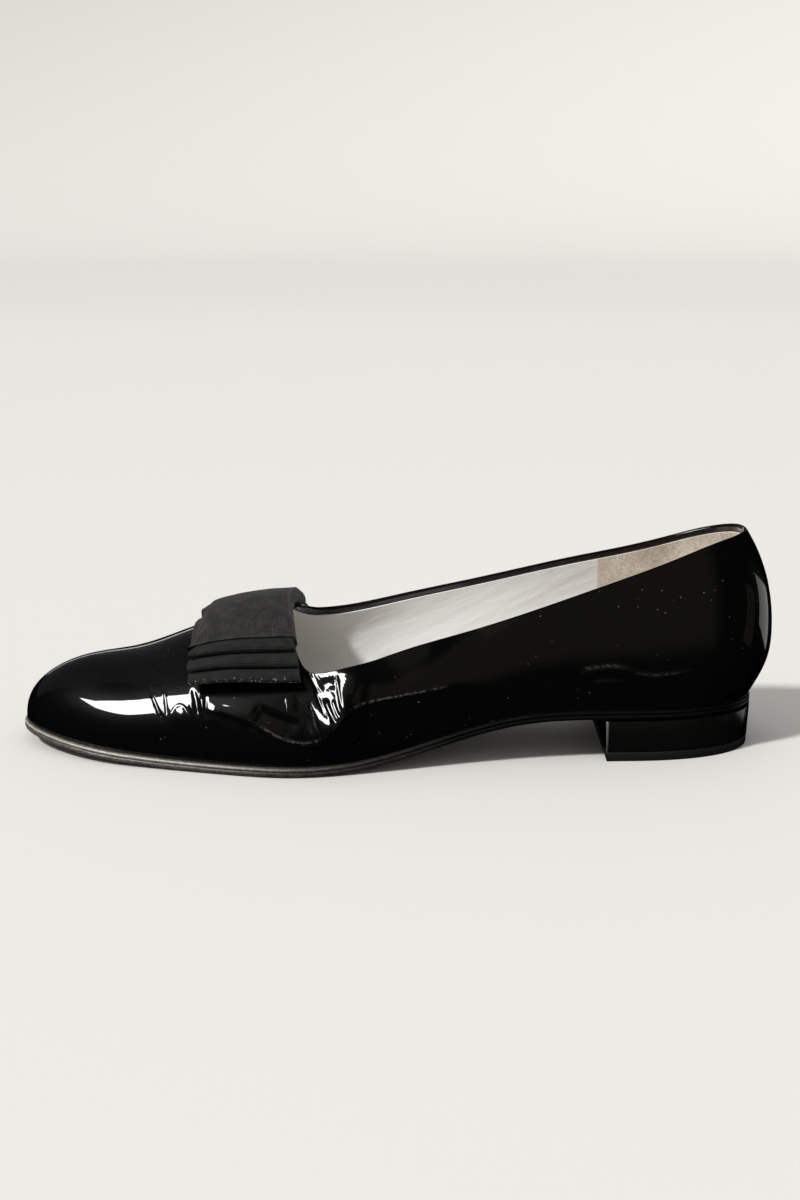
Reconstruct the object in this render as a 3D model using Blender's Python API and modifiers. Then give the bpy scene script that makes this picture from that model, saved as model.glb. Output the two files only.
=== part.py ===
"""Left patent leather ballet flat with a low block heel and a flat grosgrain bow.

The shoe stands on its sole, toe towards -X, heel towards +X, outer side towards -Y.
Tables are in millimetres: "from_toe" runs from the tip of the sole back to the heel,
"lateral" is the outer side of the foot and "medial" the inner side.
"""

import bmesh
import bpy
import numpy as np

MM = 0.001
LATERAL, MEDIAL = -1, 1

# Overall sizes, in millimetres
LENGTH = 261.2
WALL = 1.6
GAP = 0.3

# Sole: a thin leather sole with toe spring, a flat tread under the ball and an arch
SOLE_THICKNESS = 3.4
TOE_SPRING = 4.5
BALL_FRONT = 75.0
BALL_BACK = 98.0
ARCH_TOP = 195.0
ARCH_HEIGHT = 14.6
SOLE_TIP = 0.6
SOLE_BACK = 254.9
TOE_ROUND = 40.0
TOE_FULLNESS = 2.2
HEEL_ROUND = 46.0
HEEL_FULLNESS = 2.3

# Heel: a low block with a thin top lift
HEEL_BREAST = 202.0
HEEL_TAPER = 0.6
TOP_LIFT = 3.5

# Insole board with its sock
INSOLE_THICKNESS = 2.0
INSOLE_INSET = 2.9

# Upper: last, throat and topline
UPPER_TIP = 1.5
TOE_BOX_LENGTH = 35.0
TOE_BOX_FULLNESS = 2.5
HEEL_REFERENCE = 258.0
HEEL_CURVE_START = 185.0
THROAT = 95.5
THROAT_FULLNESS = 2.6
THROAT_CORNER = {LATERAL: 10.0, MEDIAL: 10.0}
BACK_SEAM_HEIGHT = 0.35
BACK_SEAM_WIDTH = 1.4

# Bow: three stacked loops of ribbon held by one wide band
RIBBON_WIDTH = 33.2
RIBBON_THICKNESS = 0.4
BAND_HALF = 22.0
BOW_CENTRE = 78.7
BOW_SWEEP = 0.12
BOW_SWEEP_EASE = 8.0
BOW_FAN = 0.0058
BOW_SPLAY = 0.002
BOW_TOE_LIFT = {LATERAL: 2.5, MEDIAL: 0.0}
BOW_BASE_GAP = 0.45
LOOP_HOLLOW = 0.25
LOOP_CROWN = 0.45
LOOP_FOLD = 2.5
LOOP_PUFF_LENGTH = 7.0
LOOP_STAND_OFF = {LATERAL: 2.0, MEDIAL: 0.6}
PINCH_START = 12.0
PINCH_END = 29.0
BAND_FRONT_HEIGHT = 1.6
BAND_EASE = 2.5

# Plan of the sole edge and depth of the lip that shows outside the upper
SOLE_COLUMNS = ("from_toe", "lateral", "medial", "lip")
SOLE_PLAN = (
    (0.0, 19.5, 22.0, 1.7),
    (20.0, 25.8, 28.6, 1.7),
    (45.0, 32.4, 34.2, 1.6),
    (72.0, 38.6, 38.3, 1.6),
    (97.0, 42.3, 37.2, 1.5),
    (120.0, 38.6, 31.4, 1.2),
    (150.0, 32.2, 24.8, 0.9),
    (180.0, 28.2, 23.4, 0.8),
    (205.0, 26.5, 25.0, 0.7),
    (230.0, 26.0, 25.8, 0.7),
    (256.0, 25.6, 25.6, 0.7),
)

# Side profile of the sole edge, from the tread up: a rounded edge, a groove and a fine rib
EDGE_COLUMNS = ("inset", "height")
SOLE_EDGE = (
    (2.2, 0.0),
    (0.6, 0.35),
    (0.1, 1.0),
    (0.0, 1.7),
    (0.3, 2.35),
    (0.7, 2.6),
    (0.45, 2.85),
    (0.6, 3.2),
    (1.0, 3.4),
)

# The last in cross sections. Each half section is one cubic curve from the sole to the ridge:
# it leaves the sole towards a point "flare" out and "rise" up, and meets the ridge level, "crown" wide.
LAST_COLUMNS = ("from_toe", "ridge", "shift", "flare_lateral", "flare_medial", "rise", "crown")
LAST_SECTIONS = (
    (0.0, 28.0, 0.5, 3.0, 3.0, 9.0, 12.0),
    (20.0, 30.0, 0.8, 3.8, 3.8, 11.0, 14.5),
    (40.0, 31.8, 1.5, 4.6, 4.6, 13.0, 17.5),
    (60.0, 38.6, 2.4, 5.2, 5.4, 16.0, 19.5),
    (78.0, 43.3, 3.0, 5.6, 6.2, 18.5, 20.5),
    (97.0, 47.0, 3.0, 5.6, 7.4, 20.5, 21.5),
    (120.0, 56.5, 2.5, 5.6, 8.6, 23.0, 20.5),
    (150.0, 72.0, 1.5, 5.2, 8.0, 27.0, 18.5),
    (180.0, 85.0, 0.5, 4.4, 5.6, 30.0, 17.0),
    (210.0, 96.0, 0.0, 3.8, 4.4, 32.0, 16.0),
    (240.0, 103.0, 0.0, 4.0, 4.2, 33.0, 15.0),
    (260.0, 106.0, 0.0, 4.2, 4.2, 33.0, 14.0),
)

# Back of the heel from the side
HEEL_COLUMNS = ("height", "from_toe")
HEEL_CURVE = (
    (18.0, 254.0),
    (30.0, 260.0),
    (42.0, 261.2),
    (54.0, 259.8),
    (64.0, 256.7),
    (70.0, 253.9),
    (76.0, 250.3),
)

# Height of the topline above the floor on each side
TOPLINE_COLUMNS = ("from_toe", "lateral", "medial")
TOPLINE = (
    (95.0, 33.8, 41.4),
    (107.0, 33.0, 41.0),
    (132.0, 39.6, 45.6),
    (159.0, 47.4, 52.0),
    (191.0, 57.5, 59.7),
    (221.0, 67.7, 66.1),
    (243.0, 74.0, 72.4),
    (258.0, 76.0, 76.0),
)

# Ribbon loops of the bow, from the vamp up. "pinch" is how far the band draws a loop's front edge back.
LOOP_COLUMNS = ("name", "half_length", "pinch")
BOW_LOOPS = (
    ("bow_loop_bottom", 36.0, 4.5),
    ("bow_loop_middle", 31.5, 6.5),
    ("bow_loop_top", 26.5, 9.0),
)

# Colour, roughness and metallic value of each finish
FINISHES = {
    "patent_leather": ((0.006, 0.006, 0.006), 0.06, 0.0),
    "sole_leather": ((0.03, 0.028, 0.025), 0.45, 0.0),
    "heel_lacquer": ((0.008, 0.008, 0.008), 0.15, 0.0),
    "lift_rubber": ((0.012, 0.012, 0.012), 0.6, 0.0),
    "sock_leather": ((0.72, 0.69, 0.64), 0.5, 0.0),
    "grosgrain": ((0.02, 0.02, 0.021), 0.8, 0.0),
}


def natural_spline(knots, values):
    """The natural cubic spline through a table's rows, as a function of its first column."""
    knots = np.asarray(knots, float)
    values = np.asarray(values, float)
    gaps = np.diff(knots)
    slopes = np.diff(values) / gaps
    matrix = np.eye(len(knots))
    right = np.zeros(len(knots))
    for i in range(1, len(knots) - 1):
        matrix[i, i - 1 : i + 2] = gaps[i - 1], 2 * (gaps[i - 1] + gaps[i]), gaps[i]
        right[i] = 6 * (slopes[i] - slopes[i - 1])
    bends = np.linalg.solve(matrix, right)

    def curve(at):
        at = np.asarray(at, float)
        i = np.clip(np.searchsorted(knots, at) - 1, 0, len(gaps) - 1)
        ahead = knots[i + 1] - at
        behind = at - knots[i]
        linear = values[i] / gaps[i] - bends[i] * gaps[i] / 6
        linear_next = values[i + 1] / gaps[i] - bends[i + 1] * gaps[i] / 6
        cubic = (bends[i] * ahead**3 + bends[i + 1] * behind**3) / (6 * gaps[i])
        return cubic + linear * ahead + linear_next * behind

    return curve


def table_curves(names, rows):
    """One spline for each named column, as a function of the table's first column."""
    columns = np.array(rows, float).T
    return {name: natural_spline(columns[0], column) for name, column in zip(names[1:], columns[1:])}


SOLE = table_curves(SOLE_COLUMNS, SOLE_PLAN)
LAST = table_curves(LAST_COLUMNS, LAST_SECTIONS)
HEEL = table_curves(HEEL_COLUMNS, HEEL_CURVE)
TOP = table_curves(TOPLINE_COLUMNS, TOPLINE)
SIDE_NAME = {LATERAL: "lateral", MEDIAL: "medial"}


def round_end(distance, length, fullness):
    """Runs from 0 at an end to 1 at length, as a superellipse does."""
    share = np.clip(np.asarray(distance, float) / length, 0.0, 1.0)
    return (1.0 - (1.0 - share) ** fullness) ** (1.0 / fullness)


def smooth_rise(at, start, end):
    """0 before start, 1 after end, with no jump in curvature."""
    share = np.clip((np.asarray(at, float) - start) / (end - start), 0.0, 1.0)
    return share**3 * (share * (6 * share - 15) + 10)


def sole_bottom(from_toe):
    """Height of the tread: toe spring, a flat ball, and the arch up to the heel seat."""
    spring = TOE_SPRING * np.clip(1.0 - np.asarray(from_toe, float) / BALL_FRONT, 0.0, 1.0) ** 2
    return spring + ARCH_HEIGHT * smooth_rise(from_toe, BALL_BACK, ARCH_TOP)


def sole_edge(from_toe, side):
    """Half width of the sole, from its middle line to its edge."""
    toe = round_end(from_toe - SOLE_TIP, TOE_ROUND, TOE_FULLNESS)
    heel = round_end(SOLE_BACK - from_toe, HEEL_ROUND, HEEL_FULLNESS)
    return SOLE[SIDE_NAME[side]](from_toe) * toe * heel


def last_point(from_toe, share, side):
    """A point of the upper's outer face, share 0 at the sole and 1 at the ridge, in millimetres."""
    heel = round_end(HEEL_REFERENCE - from_toe, HEEL_ROUND, HEEL_FULLNESS)
    plan_end = round_end(from_toe - UPPER_TIP, TOE_ROUND, TOE_FULLNESS) * heel
    box_end = round_end(from_toe - UPPER_TIP, TOE_BOX_LENGTH, TOE_BOX_FULLNESS)
    foot = sole_bottom(from_toe) + SOLE_THICKNESS + GAP
    ridge = foot + (LAST["ridge"](from_toe) - foot) * box_end
    half_width = (SOLE[SIDE_NAME[side]](from_toe) - SOLE["lip"](from_toe)) * plan_end
    flare = LAST["flare_" + SIDE_NAME[side]](from_toe) * plan_end
    middle = LAST["shift"](from_toe) * plan_end
    weights = (
        (1 - share) ** 3,
        3 * share * (1 - share) ** 2,
        3 * share**2 * (1 - share),
        share**3,
    )
    across = (
        side * half_width,
        side * (half_width + flare),
        middle + side * LAST["crown"](from_toe) * plan_end,
        middle,
    )
    upward = (foot, foot + LAST["rise"](from_toe) * box_end, ridge, ridge)
    y = sum(weight * part for weight, part in zip(weights, across))
    z = sum(weight * part for weight, part in zip(weights, upward))
    pull = np.clip((from_toe - HEEL_CURVE_START) / (HEEL_REFERENCE - HEEL_CURVE_START), 0.0, 1.0)
    x = from_toe + (HEEL["from_toe"](z) - HEEL_REFERENCE) * pull**2
    seam = BACK_SEAM_HEIGHT * np.exp(-((y / BACK_SEAM_WIDTH) ** 2))
    return np.stack(np.broadcast_arrays(x + seam * (pull > 0.9), y, z), axis=-1)


def topline_share(from_toe, side):
    """How far up each half section the upper reaches: 1 over the vamp, the topline behind the throat."""
    samples = np.linspace(0.0, 1.0, 400)
    shares = []
    for at in from_toe:
        heights = last_point(at, samples, side)[:, 2]
        quarter = np.interp(TOP[SIDE_NAME[side]](at), heights, samples)
        corner = round_end(at - THROAT, THROAT_CORNER[side], THROAT_FULLNESS)
        shares.append(1.0 - (1.0 - quarter) * corner)
    return np.array(shares)


def spaced(start, end, count, ease="even"):
    """Stations between two places, closer together at the start or at the end where the shape turns."""
    share = np.linspace(0.0, 1.0, count + 1)
    if ease == "start":
        share = 1.0 - np.cos(share * np.pi / 2)
    if ease == "end":
        share = np.sin(share * np.pi / 2)
    return start + (end - start) * share


def stations(tip, back, throat=None):
    """Places along the shoe for its cross sections, from the tip to the back."""
    toe_end = 42.0
    heel_start = 206.0
    middle = [spaced(toe_end, heel_start, 22)]
    if throat:
        corner_end = throat + max(THROAT_CORNER.values())
        middle = [
            spaced(toe_end, throat, 8),
            spaced(throat, corner_end, 5, "start"),
            spaced(corner_end, heel_start, 11),
        ]
    pieces = [spaced(tip, toe_end, 9, "start"), *middle, spaced(heel_start, back, 9, "end")]
    return np.unique(np.round(np.concatenate(pieces), 6))


def to_scene(points):
    """Table millimetres to metres, with the middle of the shoe's length at X 0."""
    return (np.asarray(points, float) - (LENGTH / 2, 0.0, 0.0)) * MM


def add_object(name, mesh_data, finish, parent):
    """Wraps a bmesh as a named object with its finish."""
    bmesh.ops.recalc_face_normals(mesh_data, faces=mesh_data.faces)
    mesh = bpy.data.meshes.new(name)
    mesh_data.to_mesh(mesh)
    mesh_data.free()
    mesh.shade_smooth()
    mesh.set_sharp_from_angle(angle=np.radians(40))
    mesh.materials.append(bpy.data.materials[finish])
    thing = bpy.data.objects.new(name, mesh)
    thing.parent = parent
    bpy.data.collections["ballet_flat"].objects.link(thing)
    return thing


def add_grid(mesh_data, points, closed=False):
    """Adds a grid of quads through rows of points; a closed grid joins its last row to its first."""
    rows, count = points.shape[:2]
    corners = [[mesh_data.verts.new(point) for point in row] for row in points]
    for i in range(rows if closed else rows - 1):
        row = corners[i]
        after = corners[(i + 1) % rows]
        for j in range(count - 1):
            mesh_data.faces.new((row[j], row[j + 1], after[j + 1], after[j]))
    return corners


def add_cap(mesh_data, ring):
    """Closes an outline with strips from its lateral half to its medial half."""
    last = len(ring)
    for i in range(last // 2):
        corners = (ring[i], ring[i + 1], ring[last - i - 2], ring[last - i - 1])
        kept = list(dict.fromkeys(corners))
        if len(kept) > 2:
            mesh_data.faces.new(kept)


def weld(mesh_data):
    """Joins points that coincide, such as those along the ridge and at the poles."""
    bmesh.ops.remove_doubles(mesh_data, verts=mesh_data.verts, dist=0.01 * MM)


def outline(tip, back, edge):
    """A closed plan outline: along the lateral edge to the back, and home along the medial edge."""
    places = stations(tip, back)
    lateral = np.stack([places, -edge(places, LATERAL)], axis=-1)
    medial = np.stack([places, edge(places, MEDIAL)], axis=-1)
    return np.concatenate([lateral, medial[-2:0:-1]])


def inset_outline(plan, inset):
    """The same outline moved inwards by a distance."""
    along = np.roll(plan, -1, axis=0) - np.roll(plan, 1, axis=0)
    along /= np.linalg.norm(along, axis=1, keepdims=True)
    return plan + inset * np.stack([-along[:, 1], along[:, 0]], axis=-1)


def add_stack(name, plan, levels, height_at, finish, parent):
    """A solid of stacked outlines: each level has an inset and a height over the surface height_at."""
    mesh_data = bmesh.new()
    rings = []
    for inset, height in levels:
        ring = inset_outline(plan, inset)
        rings.append(np.column_stack([ring, height_at(ring[:, 0], height)]))
    points = to_scene(np.stack(rings))
    closed = np.concatenate([points, points[:, :1]], axis=1)
    add_grid(mesh_data, closed)
    weld(mesh_data)
    mesh_data.verts.ensure_lookup_table()
    for ring_points in (points[0], points[-1]):
        add_cap(mesh_data, nearest_verts(mesh_data, ring_points))
    return add_object(name, mesh_data, finish, parent)


def nearest_verts(mesh_data, points):
    """The mesh's own points at the given places, in their order."""
    places = np.array([vert.co for vert in mesh_data.verts])
    return [mesh_data.verts[int(np.argmin(((places - p) ** 2).sum(axis=1)))] for p in points]


def build_outsole(parent):
    """The leather sole, with the rounded edge, groove and rib of its side."""
    plan = outline(SOLE_TIP, SOLE_BACK, sole_edge)
    return add_stack("outsole", plan, SOLE_EDGE, lambda x, h: sole_bottom(x) + h, "sole_leather", parent)


def heel_plan():
    """The outline of the heel block: straight breast, then round the back."""
    places = spaced(HEEL_BREAST, SOLE_BACK, 16, "end")
    lateral = np.stack([places, -sole_edge(places, LATERAL)], axis=-1)
    medial = np.stack([places, sole_edge(places, MEDIAL)], axis=-1)
    return np.concatenate([lateral, medial[-2::-1]])


def add_heel_layer(name, bottom, top, finish, parent):
    """One layer of the heel between two heights, tapering a little towards the floor."""
    mesh_data = bmesh.new()
    seat = ARCH_HEIGHT
    middle = np.array([(HEEL_BREAST + SOLE_BACK) / 2, 0.0])
    rings = []
    for height in (bottom, top):
        share = 1.0 - HEEL_TAPER / middle_reach() * (1.0 - height / seat)
        ring = middle + (heel_plan() - middle) * share
        rings.append(np.column_stack([ring, np.full(len(ring), height)]))
    points = to_scene(np.stack(rings))
    corners = add_grid(mesh_data, np.concatenate([points, points[:, :1]], axis=1))
    for ring in corners:
        add_cap(mesh_data, ring[:-1])
    weld(mesh_data)
    return add_object(name, mesh_data, finish, parent)


def middle_reach():
    """Distance from the middle of the heel to its side."""
    return float(SOLE["lateral"](HEEL_BREAST))


def build_heel(parent):
    """The heel block under the seat."""
    return add_heel_layer("heel_block", TOP_LIFT, ARCH_HEIGHT - GAP, "heel_lacquer", parent)


def build_top_lift(parent):
    """The lift that the heel stands on."""
    return add_heel_layer("top_lift", 0.0, TOP_LIFT - GAP, "lift_rubber", parent)


def insole_edge(from_toe, side):
    """Half width of the insole, just inside the upper's wall."""
    tip = UPPER_TIP + INSOLE_INSET
    toe = round_end(from_toe - tip, TOE_ROUND, TOE_FULLNESS)
    heel = round_end(SOLE_BACK - INSOLE_INSET - from_toe, HEEL_ROUND, HEEL_FULLNESS)
    return (SOLE[SIDE_NAME[side]](from_toe) - SOLE["lip"](from_toe) - INSOLE_INSET) * toe * heel


def build_insole(parent):
    """The insole board, resting on the sole inside the upper."""
    plan = outline(UPPER_TIP + INSOLE_INSET, SOLE_BACK - INSOLE_INSET, insole_edge)
    rise = SOLE_THICKNESS + GAP
    levels = ((0.0, rise), (0.0, rise + INSOLE_THICKNESS - 0.4), (0.4, rise + INSOLE_THICKNESS))
    return add_stack("insole", plan, levels, lambda x, h: sole_bottom(x) + h, "sock_leather", parent)


def build_upper(parent):
    """The one-piece upper: an open skin over the last, given its wall by Solidify."""
    rows = spaced(0.0, 1.0, 11)
    places = stations(UPPER_TIP, HEEL_REFERENCE, THROAT)
    mesh_data = bmesh.new()
    for side in (LATERAL, MEDIAL):
        shares = topline_share(places, side)[:, None] * rows[None, :]
        add_grid(mesh_data, to_scene(last_point(places[:, None], shares, side)))
    weld(mesh_data)
    upper = add_object("upper", mesh_data, "patent_leather", parent)
    wall = upper.modifiers.new("wall", "SOLIDIFY")
    wall.thickness = WALL * MM
    wall.offset = -1.0
    wall.use_even_offset = True
    wall.use_quality_normals = True
    return upper


class Vamp:
    """The top of the vamp as the bow sees it: across by distance from the middle, along, and out."""

    REACH = 60

    def __init__(self):
        self.half = np.linspace(0.0, 1.0, self.REACH)

    def section(self, from_toe):
        """The whole section at a place, from the lateral edge over the ridge, with distances from the middle."""
        lateral = last_point(from_toe, self.half, LATERAL)
        medial = last_point(from_toe, self.half[::-1], MEDIAL)
        points = np.concatenate([lateral, medial[1:]])
        steps = np.linalg.norm(np.diff(points, axis=0), axis=1)
        distance = np.concatenate([[0.0], np.cumsum(steps)])
        middle = np.interp(0.0, points[:, 1], distance)
        return points, distance - middle

    def at(self, from_toe, across):
        points, distance = self.section(from_toe)
        return np.array([np.interp(across, distance, points[:, k]) for k in range(3)])

    def place(self, along, across, height):
        """A point at a height over the vamp, measured along the outward normal."""
        side = LATERAL if across < 0 else MEDIAL
        across = across * (1.0 + BOW_FAN * along)
        swept = BOW_SWEEP * (np.hypot(across, BOW_SWEEP_EASE) - BOW_SWEEP_EASE)
        from_toe = BOW_CENTRE + along * (1.0 + BOW_SPLAY * abs(across)) + swept
        forward = smooth_rise(-along, -RIBBON_WIDTH / 2, RIBBON_WIDTH / 2)
        outward = (across / BOW_LOOPS[0][1]) ** 2
        height += outward * (LOOP_STAND_OFF[side] + BOW_TOE_LIFT[side] * forward)
        step = 1.5
        here = self.at(from_toe, across)
        sideways = self.at(from_toe, across + step) - self.at(from_toe, across - step)
        lengthways = self.at(from_toe + step, across) - self.at(from_toe - step, across)
        out = np.cross(lengthways, sideways)
        return here + height * out / np.linalg.norm(out)


def loop_depth(across, along, half_length):
    """Outer thickness of one loop: pressed flat under the band, puffed towards its fold."""
    flat = 2 * RIBBON_THICKNESS + LOOP_HOLLOW
    crown = LOOP_CROWN * (1.0 - (2 * along / RIBBON_WIDTH) ** 2)
    start = half_length - LOOP_PUFF_LENGTH
    puff = smooth_rise(abs(across), start, half_length - LOOP_FOLD / 2)
    return (flat + crown) * (1.0 - puff) + LOOP_FOLD * puff


def loop_floor(index, across, along):
    """Height of the underside of a loop over the vamp: it rests on the band or on the loops below."""
    floor = BOW_BASE_GAP + RIBBON_THICKNESS + GAP
    for name, half_length, pinch in BOW_LOOPS[:index]:
        floor += loop_depth(across, along, half_length) + GAP
    return floor


def loop_front(index, across):
    """Where a loop's front edge lies: drawn back under the band, full width at the folds."""
    drawn = 1.0 - smooth_rise(abs(across), PINCH_START, PINCH_END)
    return BOW_LOOPS[index][2] * drawn - RIBBON_WIDTH / 2


def loop_path(index, share, inset):
    """One line round the loop, at a share of its width: along, across and height of each point."""
    half_length = BOW_LOOPS[index][1]
    reach = half_length - LOOP_FOLD / 2
    run = spaced(-reach, reach, 13)
    turn = spaced(0.0, np.pi, 6)[1:-1]

    def along_at(across):
        front = loop_front(index, across)
        return front + share * (RIBBON_WIDTH / 2 - front)

    path = []
    for across in run:
        along = along_at(across)
        top = loop_floor(index, across, along) + loop_depth(across, along, half_length)
        path.append((along, across, top - inset))
    fold = LOOP_FOLD / 2 - inset
    for end, angles in ((1, turn), (-1, turn[::-1])):
        along = along_at(reach)
        centre = loop_floor(index, reach, along) + LOOP_FOLD / 2
        for angle in angles:
            path.append((along, end * (reach + fold * np.sin(angle)), centre + fold * np.cos(angle)))
        if end > 0:
            for across in run[::-1]:
                along = along_at(across)
                path.append((along, across, loop_floor(index, across, along) + inset))
    return path


def add_ring_solid(name, sections, parent):
    """A band that closes on itself: each section has its outer loop and its inner loop of points."""
    mesh_data = bmesh.new()
    walls = []
    for skin in range(2):
        points = to_scene(np.stack([section[skin] for section in sections]))
        walls.append(np.concatenate([points, points[:, :1]], axis=1))
    outer, inner = walls
    rings = np.concatenate([outer, inner[::-1]])
    add_grid(mesh_data, rings, closed=True)
    weld(mesh_data)
    return add_object(name, mesh_data, "grosgrain", parent)


def build_loop(index, vamp, parent):
    """One ribbon loop of the bow, open towards toe and heel."""
    sections = []
    for share in spaced(0.0, 1.0, 4):
        skins = []
        for inset in (0.0, RIBBON_THICKNESS):
            path = loop_path(index, share, inset)
            skins.append(np.array([vamp.place(*point) for point in path]))
        sections.append(skins)
    return add_ring_solid(BOW_LOOPS[index][0], sections, parent)


def band_path(across, inset):
    """The band's outline lengthways: along and height, over the loops, down and back under them."""
    reach = RIBBON_WIDTH / 2 + GAP + RIBBON_THICKNESS - inset
    bevel = GAP + RIBBON_THICKNESS - inset
    under = BOW_BASE_GAP + inset
    covered = loop_front(len(BOW_LOOPS) - 1, abs(across) + BAND_EASE)
    full_from = max(covered - 4 * GAP, 2 * GAP - reach)
    path = []
    for along in spaced(bevel - reach, reach - bevel, 12):
        full = loop_floor(len(BOW_LOOPS), across, along) + RIBBON_THICKNESS
        raised = smooth_rise(along, -reach, full_from)
        path.append((along, BAND_FRONT_HEIGHT + (full - BAND_FRONT_HEIGHT) * raised - inset))
    path += [(reach, path[-1][1] - bevel), (reach, under + bevel)]
    path += [(along, under) for along in spaced(reach - bevel, bevel - reach, 8)]
    path.append((-reach, (path[0][1] + under) / 2))
    return path


def build_band(vamp, parent):
    """The wide centre band that wraps the three loops."""
    sections = []
    for across in spaced(-BAND_HALF, BAND_HALF, 12):
        skins = []
        for inset in (0.0, RIBBON_THICKNESS):
            path = band_path(across, inset)
            skins.append(np.array([vamp.place(along, across, height) for along, height in path]))
        sections.append(skins)
    return add_ring_solid("bow_band", sections, parent)


def make_finishes():
    """One material for each finish."""
    for name, (colour, roughness, metallic) in FINISHES.items():
        material = bpy.data.materials.new(name)
        material.use_nodes = True
        shader = material.node_tree.nodes["Principled BSDF"]
        shader.inputs["Base Color"].default_value = (*colour, 1.0)
        shader.inputs["Roughness"].default_value = roughness
        shader.inputs["Metallic"].default_value = metallic


def centre_over_origin(shoe, parts):
    """Moves the shoe so that it stands on Z 0 with the middle of its plan over the origin."""
    corners = np.array([vert.co for part in parts for vert in part.data.vertices])
    low, high = corners.min(axis=0), corners.max(axis=0)
    shoe.location = (-(low[0] + high[0]) / 2, -(low[1] + high[1]) / 2, -low[2])


def main():
    for thing in list(bpy.data.objects):
        bpy.data.objects.remove(thing, do_unlink=True)
    collection = bpy.data.collections.new("ballet_flat")
    bpy.context.scene.collection.children.link(collection)
    shoe = bpy.data.objects.new("shoe", None)
    collection.objects.link(shoe)
    make_finishes()
    vamp = Vamp()
    parts = [
        build_outsole(shoe),
        build_heel(shoe),
        build_top_lift(shoe),
        build_insole(shoe),
        build_upper(shoe),
        build_band(vamp, shoe),
    ]
    parts += [build_loop(index, vamp, shoe) for index in range(len(BOW_LOOPS))]
    centre_over_origin(shoe, parts)
    bpy.context.view_layer.update()


main()
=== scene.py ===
"""Looks of the left patent ballet flat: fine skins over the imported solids, finishes, floor, light and camera.

Sizes are the shoe's own, in millimetres: "from_toe" runs from the tip of the sole back to the heel,
"lateral" is the outer side of the foot and "medial" the inner side.
"""

from functools import partial

import bpy
import numpy as np
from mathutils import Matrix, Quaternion, Vector, noise


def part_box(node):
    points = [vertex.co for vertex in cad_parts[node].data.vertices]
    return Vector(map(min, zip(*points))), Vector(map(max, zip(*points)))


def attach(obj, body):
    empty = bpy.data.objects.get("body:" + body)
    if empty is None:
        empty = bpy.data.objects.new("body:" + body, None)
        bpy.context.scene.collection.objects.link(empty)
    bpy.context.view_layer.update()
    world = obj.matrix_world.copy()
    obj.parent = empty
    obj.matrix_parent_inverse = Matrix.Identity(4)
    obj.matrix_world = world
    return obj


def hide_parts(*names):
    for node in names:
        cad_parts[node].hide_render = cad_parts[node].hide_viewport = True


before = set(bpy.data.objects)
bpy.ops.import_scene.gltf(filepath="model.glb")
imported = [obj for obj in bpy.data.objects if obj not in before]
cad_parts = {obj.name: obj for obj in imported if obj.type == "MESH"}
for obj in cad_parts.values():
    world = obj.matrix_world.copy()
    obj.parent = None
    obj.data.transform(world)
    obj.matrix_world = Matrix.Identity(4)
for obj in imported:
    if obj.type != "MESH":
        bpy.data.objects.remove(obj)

MM = 0.001
LATERAL, MEDIAL = -1, 1
SIDE_NAME = {LATERAL: "lateral", MEDIAL: "medial"}
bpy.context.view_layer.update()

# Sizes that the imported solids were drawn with
WALL = 1.6
GAP = 0.3
SOLE_THICKNESS = 3.4
TOE_SPRING = 4.5
BALL_FRONT = 75.0
BALL_BACK = 98.0
ARCH_TOP = 195.0
ARCH_HEIGHT = 14.6
SOLE_TIP = 0.6
SOLE_BACK = 254.9
TOE_ROUND = 40.0
TOE_FULLNESS = 2.2
HEEL_ROUND = 46.0
HEEL_FULLNESS = 2.3
HEEL_BREAST = 202.0
HEEL_TAPER = 0.6
TOP_LIFT = 3.5
INSOLE_THICKNESS = 2.0
INSOLE_INSET = 2.9
UPPER_TIP = 1.5
TOE_BOX_LENGTH = 35.0
TOE_BOX_FULLNESS = 2.5
HEEL_REFERENCE = 258.0
HEEL_CURVE_START = 185.0
THROAT = 95.5
THROAT_FULLNESS = 2.6
THROAT_CORNER = 10.0
BACK_SEAM_HEIGHT = 0.35
BACK_SEAM_WIDTH = 1.4
# Share of the heel's curve past which the back seam stands out
BACK_SEAM_FROM = 0.9

SOLE_COLUMNS = ("from_toe", "lateral", "medial", "lip")
SOLE_PLAN = (
    (0.0, 19.5, 22.0, 1.7),
    (20.0, 25.8, 28.6, 1.7),
    (45.0, 32.4, 34.2, 1.6),
    (72.0, 38.6, 38.3, 1.6),
    (97.0, 42.3, 37.2, 1.5),
    (120.0, 38.6, 31.4, 1.2),
    (150.0, 32.2, 24.8, 0.9),
    (180.0, 28.2, 23.4, 0.8),
    (205.0, 26.5, 25.0, 0.7),
    (230.0, 26.0, 25.8, 0.7),
    (256.0, 25.6, 25.6, 0.7),
)
EDGE_COLUMNS = ("step", "inset", "height")
SOLE_EDGE = (
    (0, 2.2, 0.0),
    (1, 0.6, 0.35),
    (2, 0.15, 0.9),
    (3, 0.05, 1.4),
    (4, 0.30, 1.85),
    (5, 0.55, 2.05),
    (6, 0.30, 2.3),
    (7, 0.10, 2.65),
    (8, 0.20, 3.0),
    (9, 0.60, 3.3),
    (10, 1.2, 3.4),
)
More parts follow.
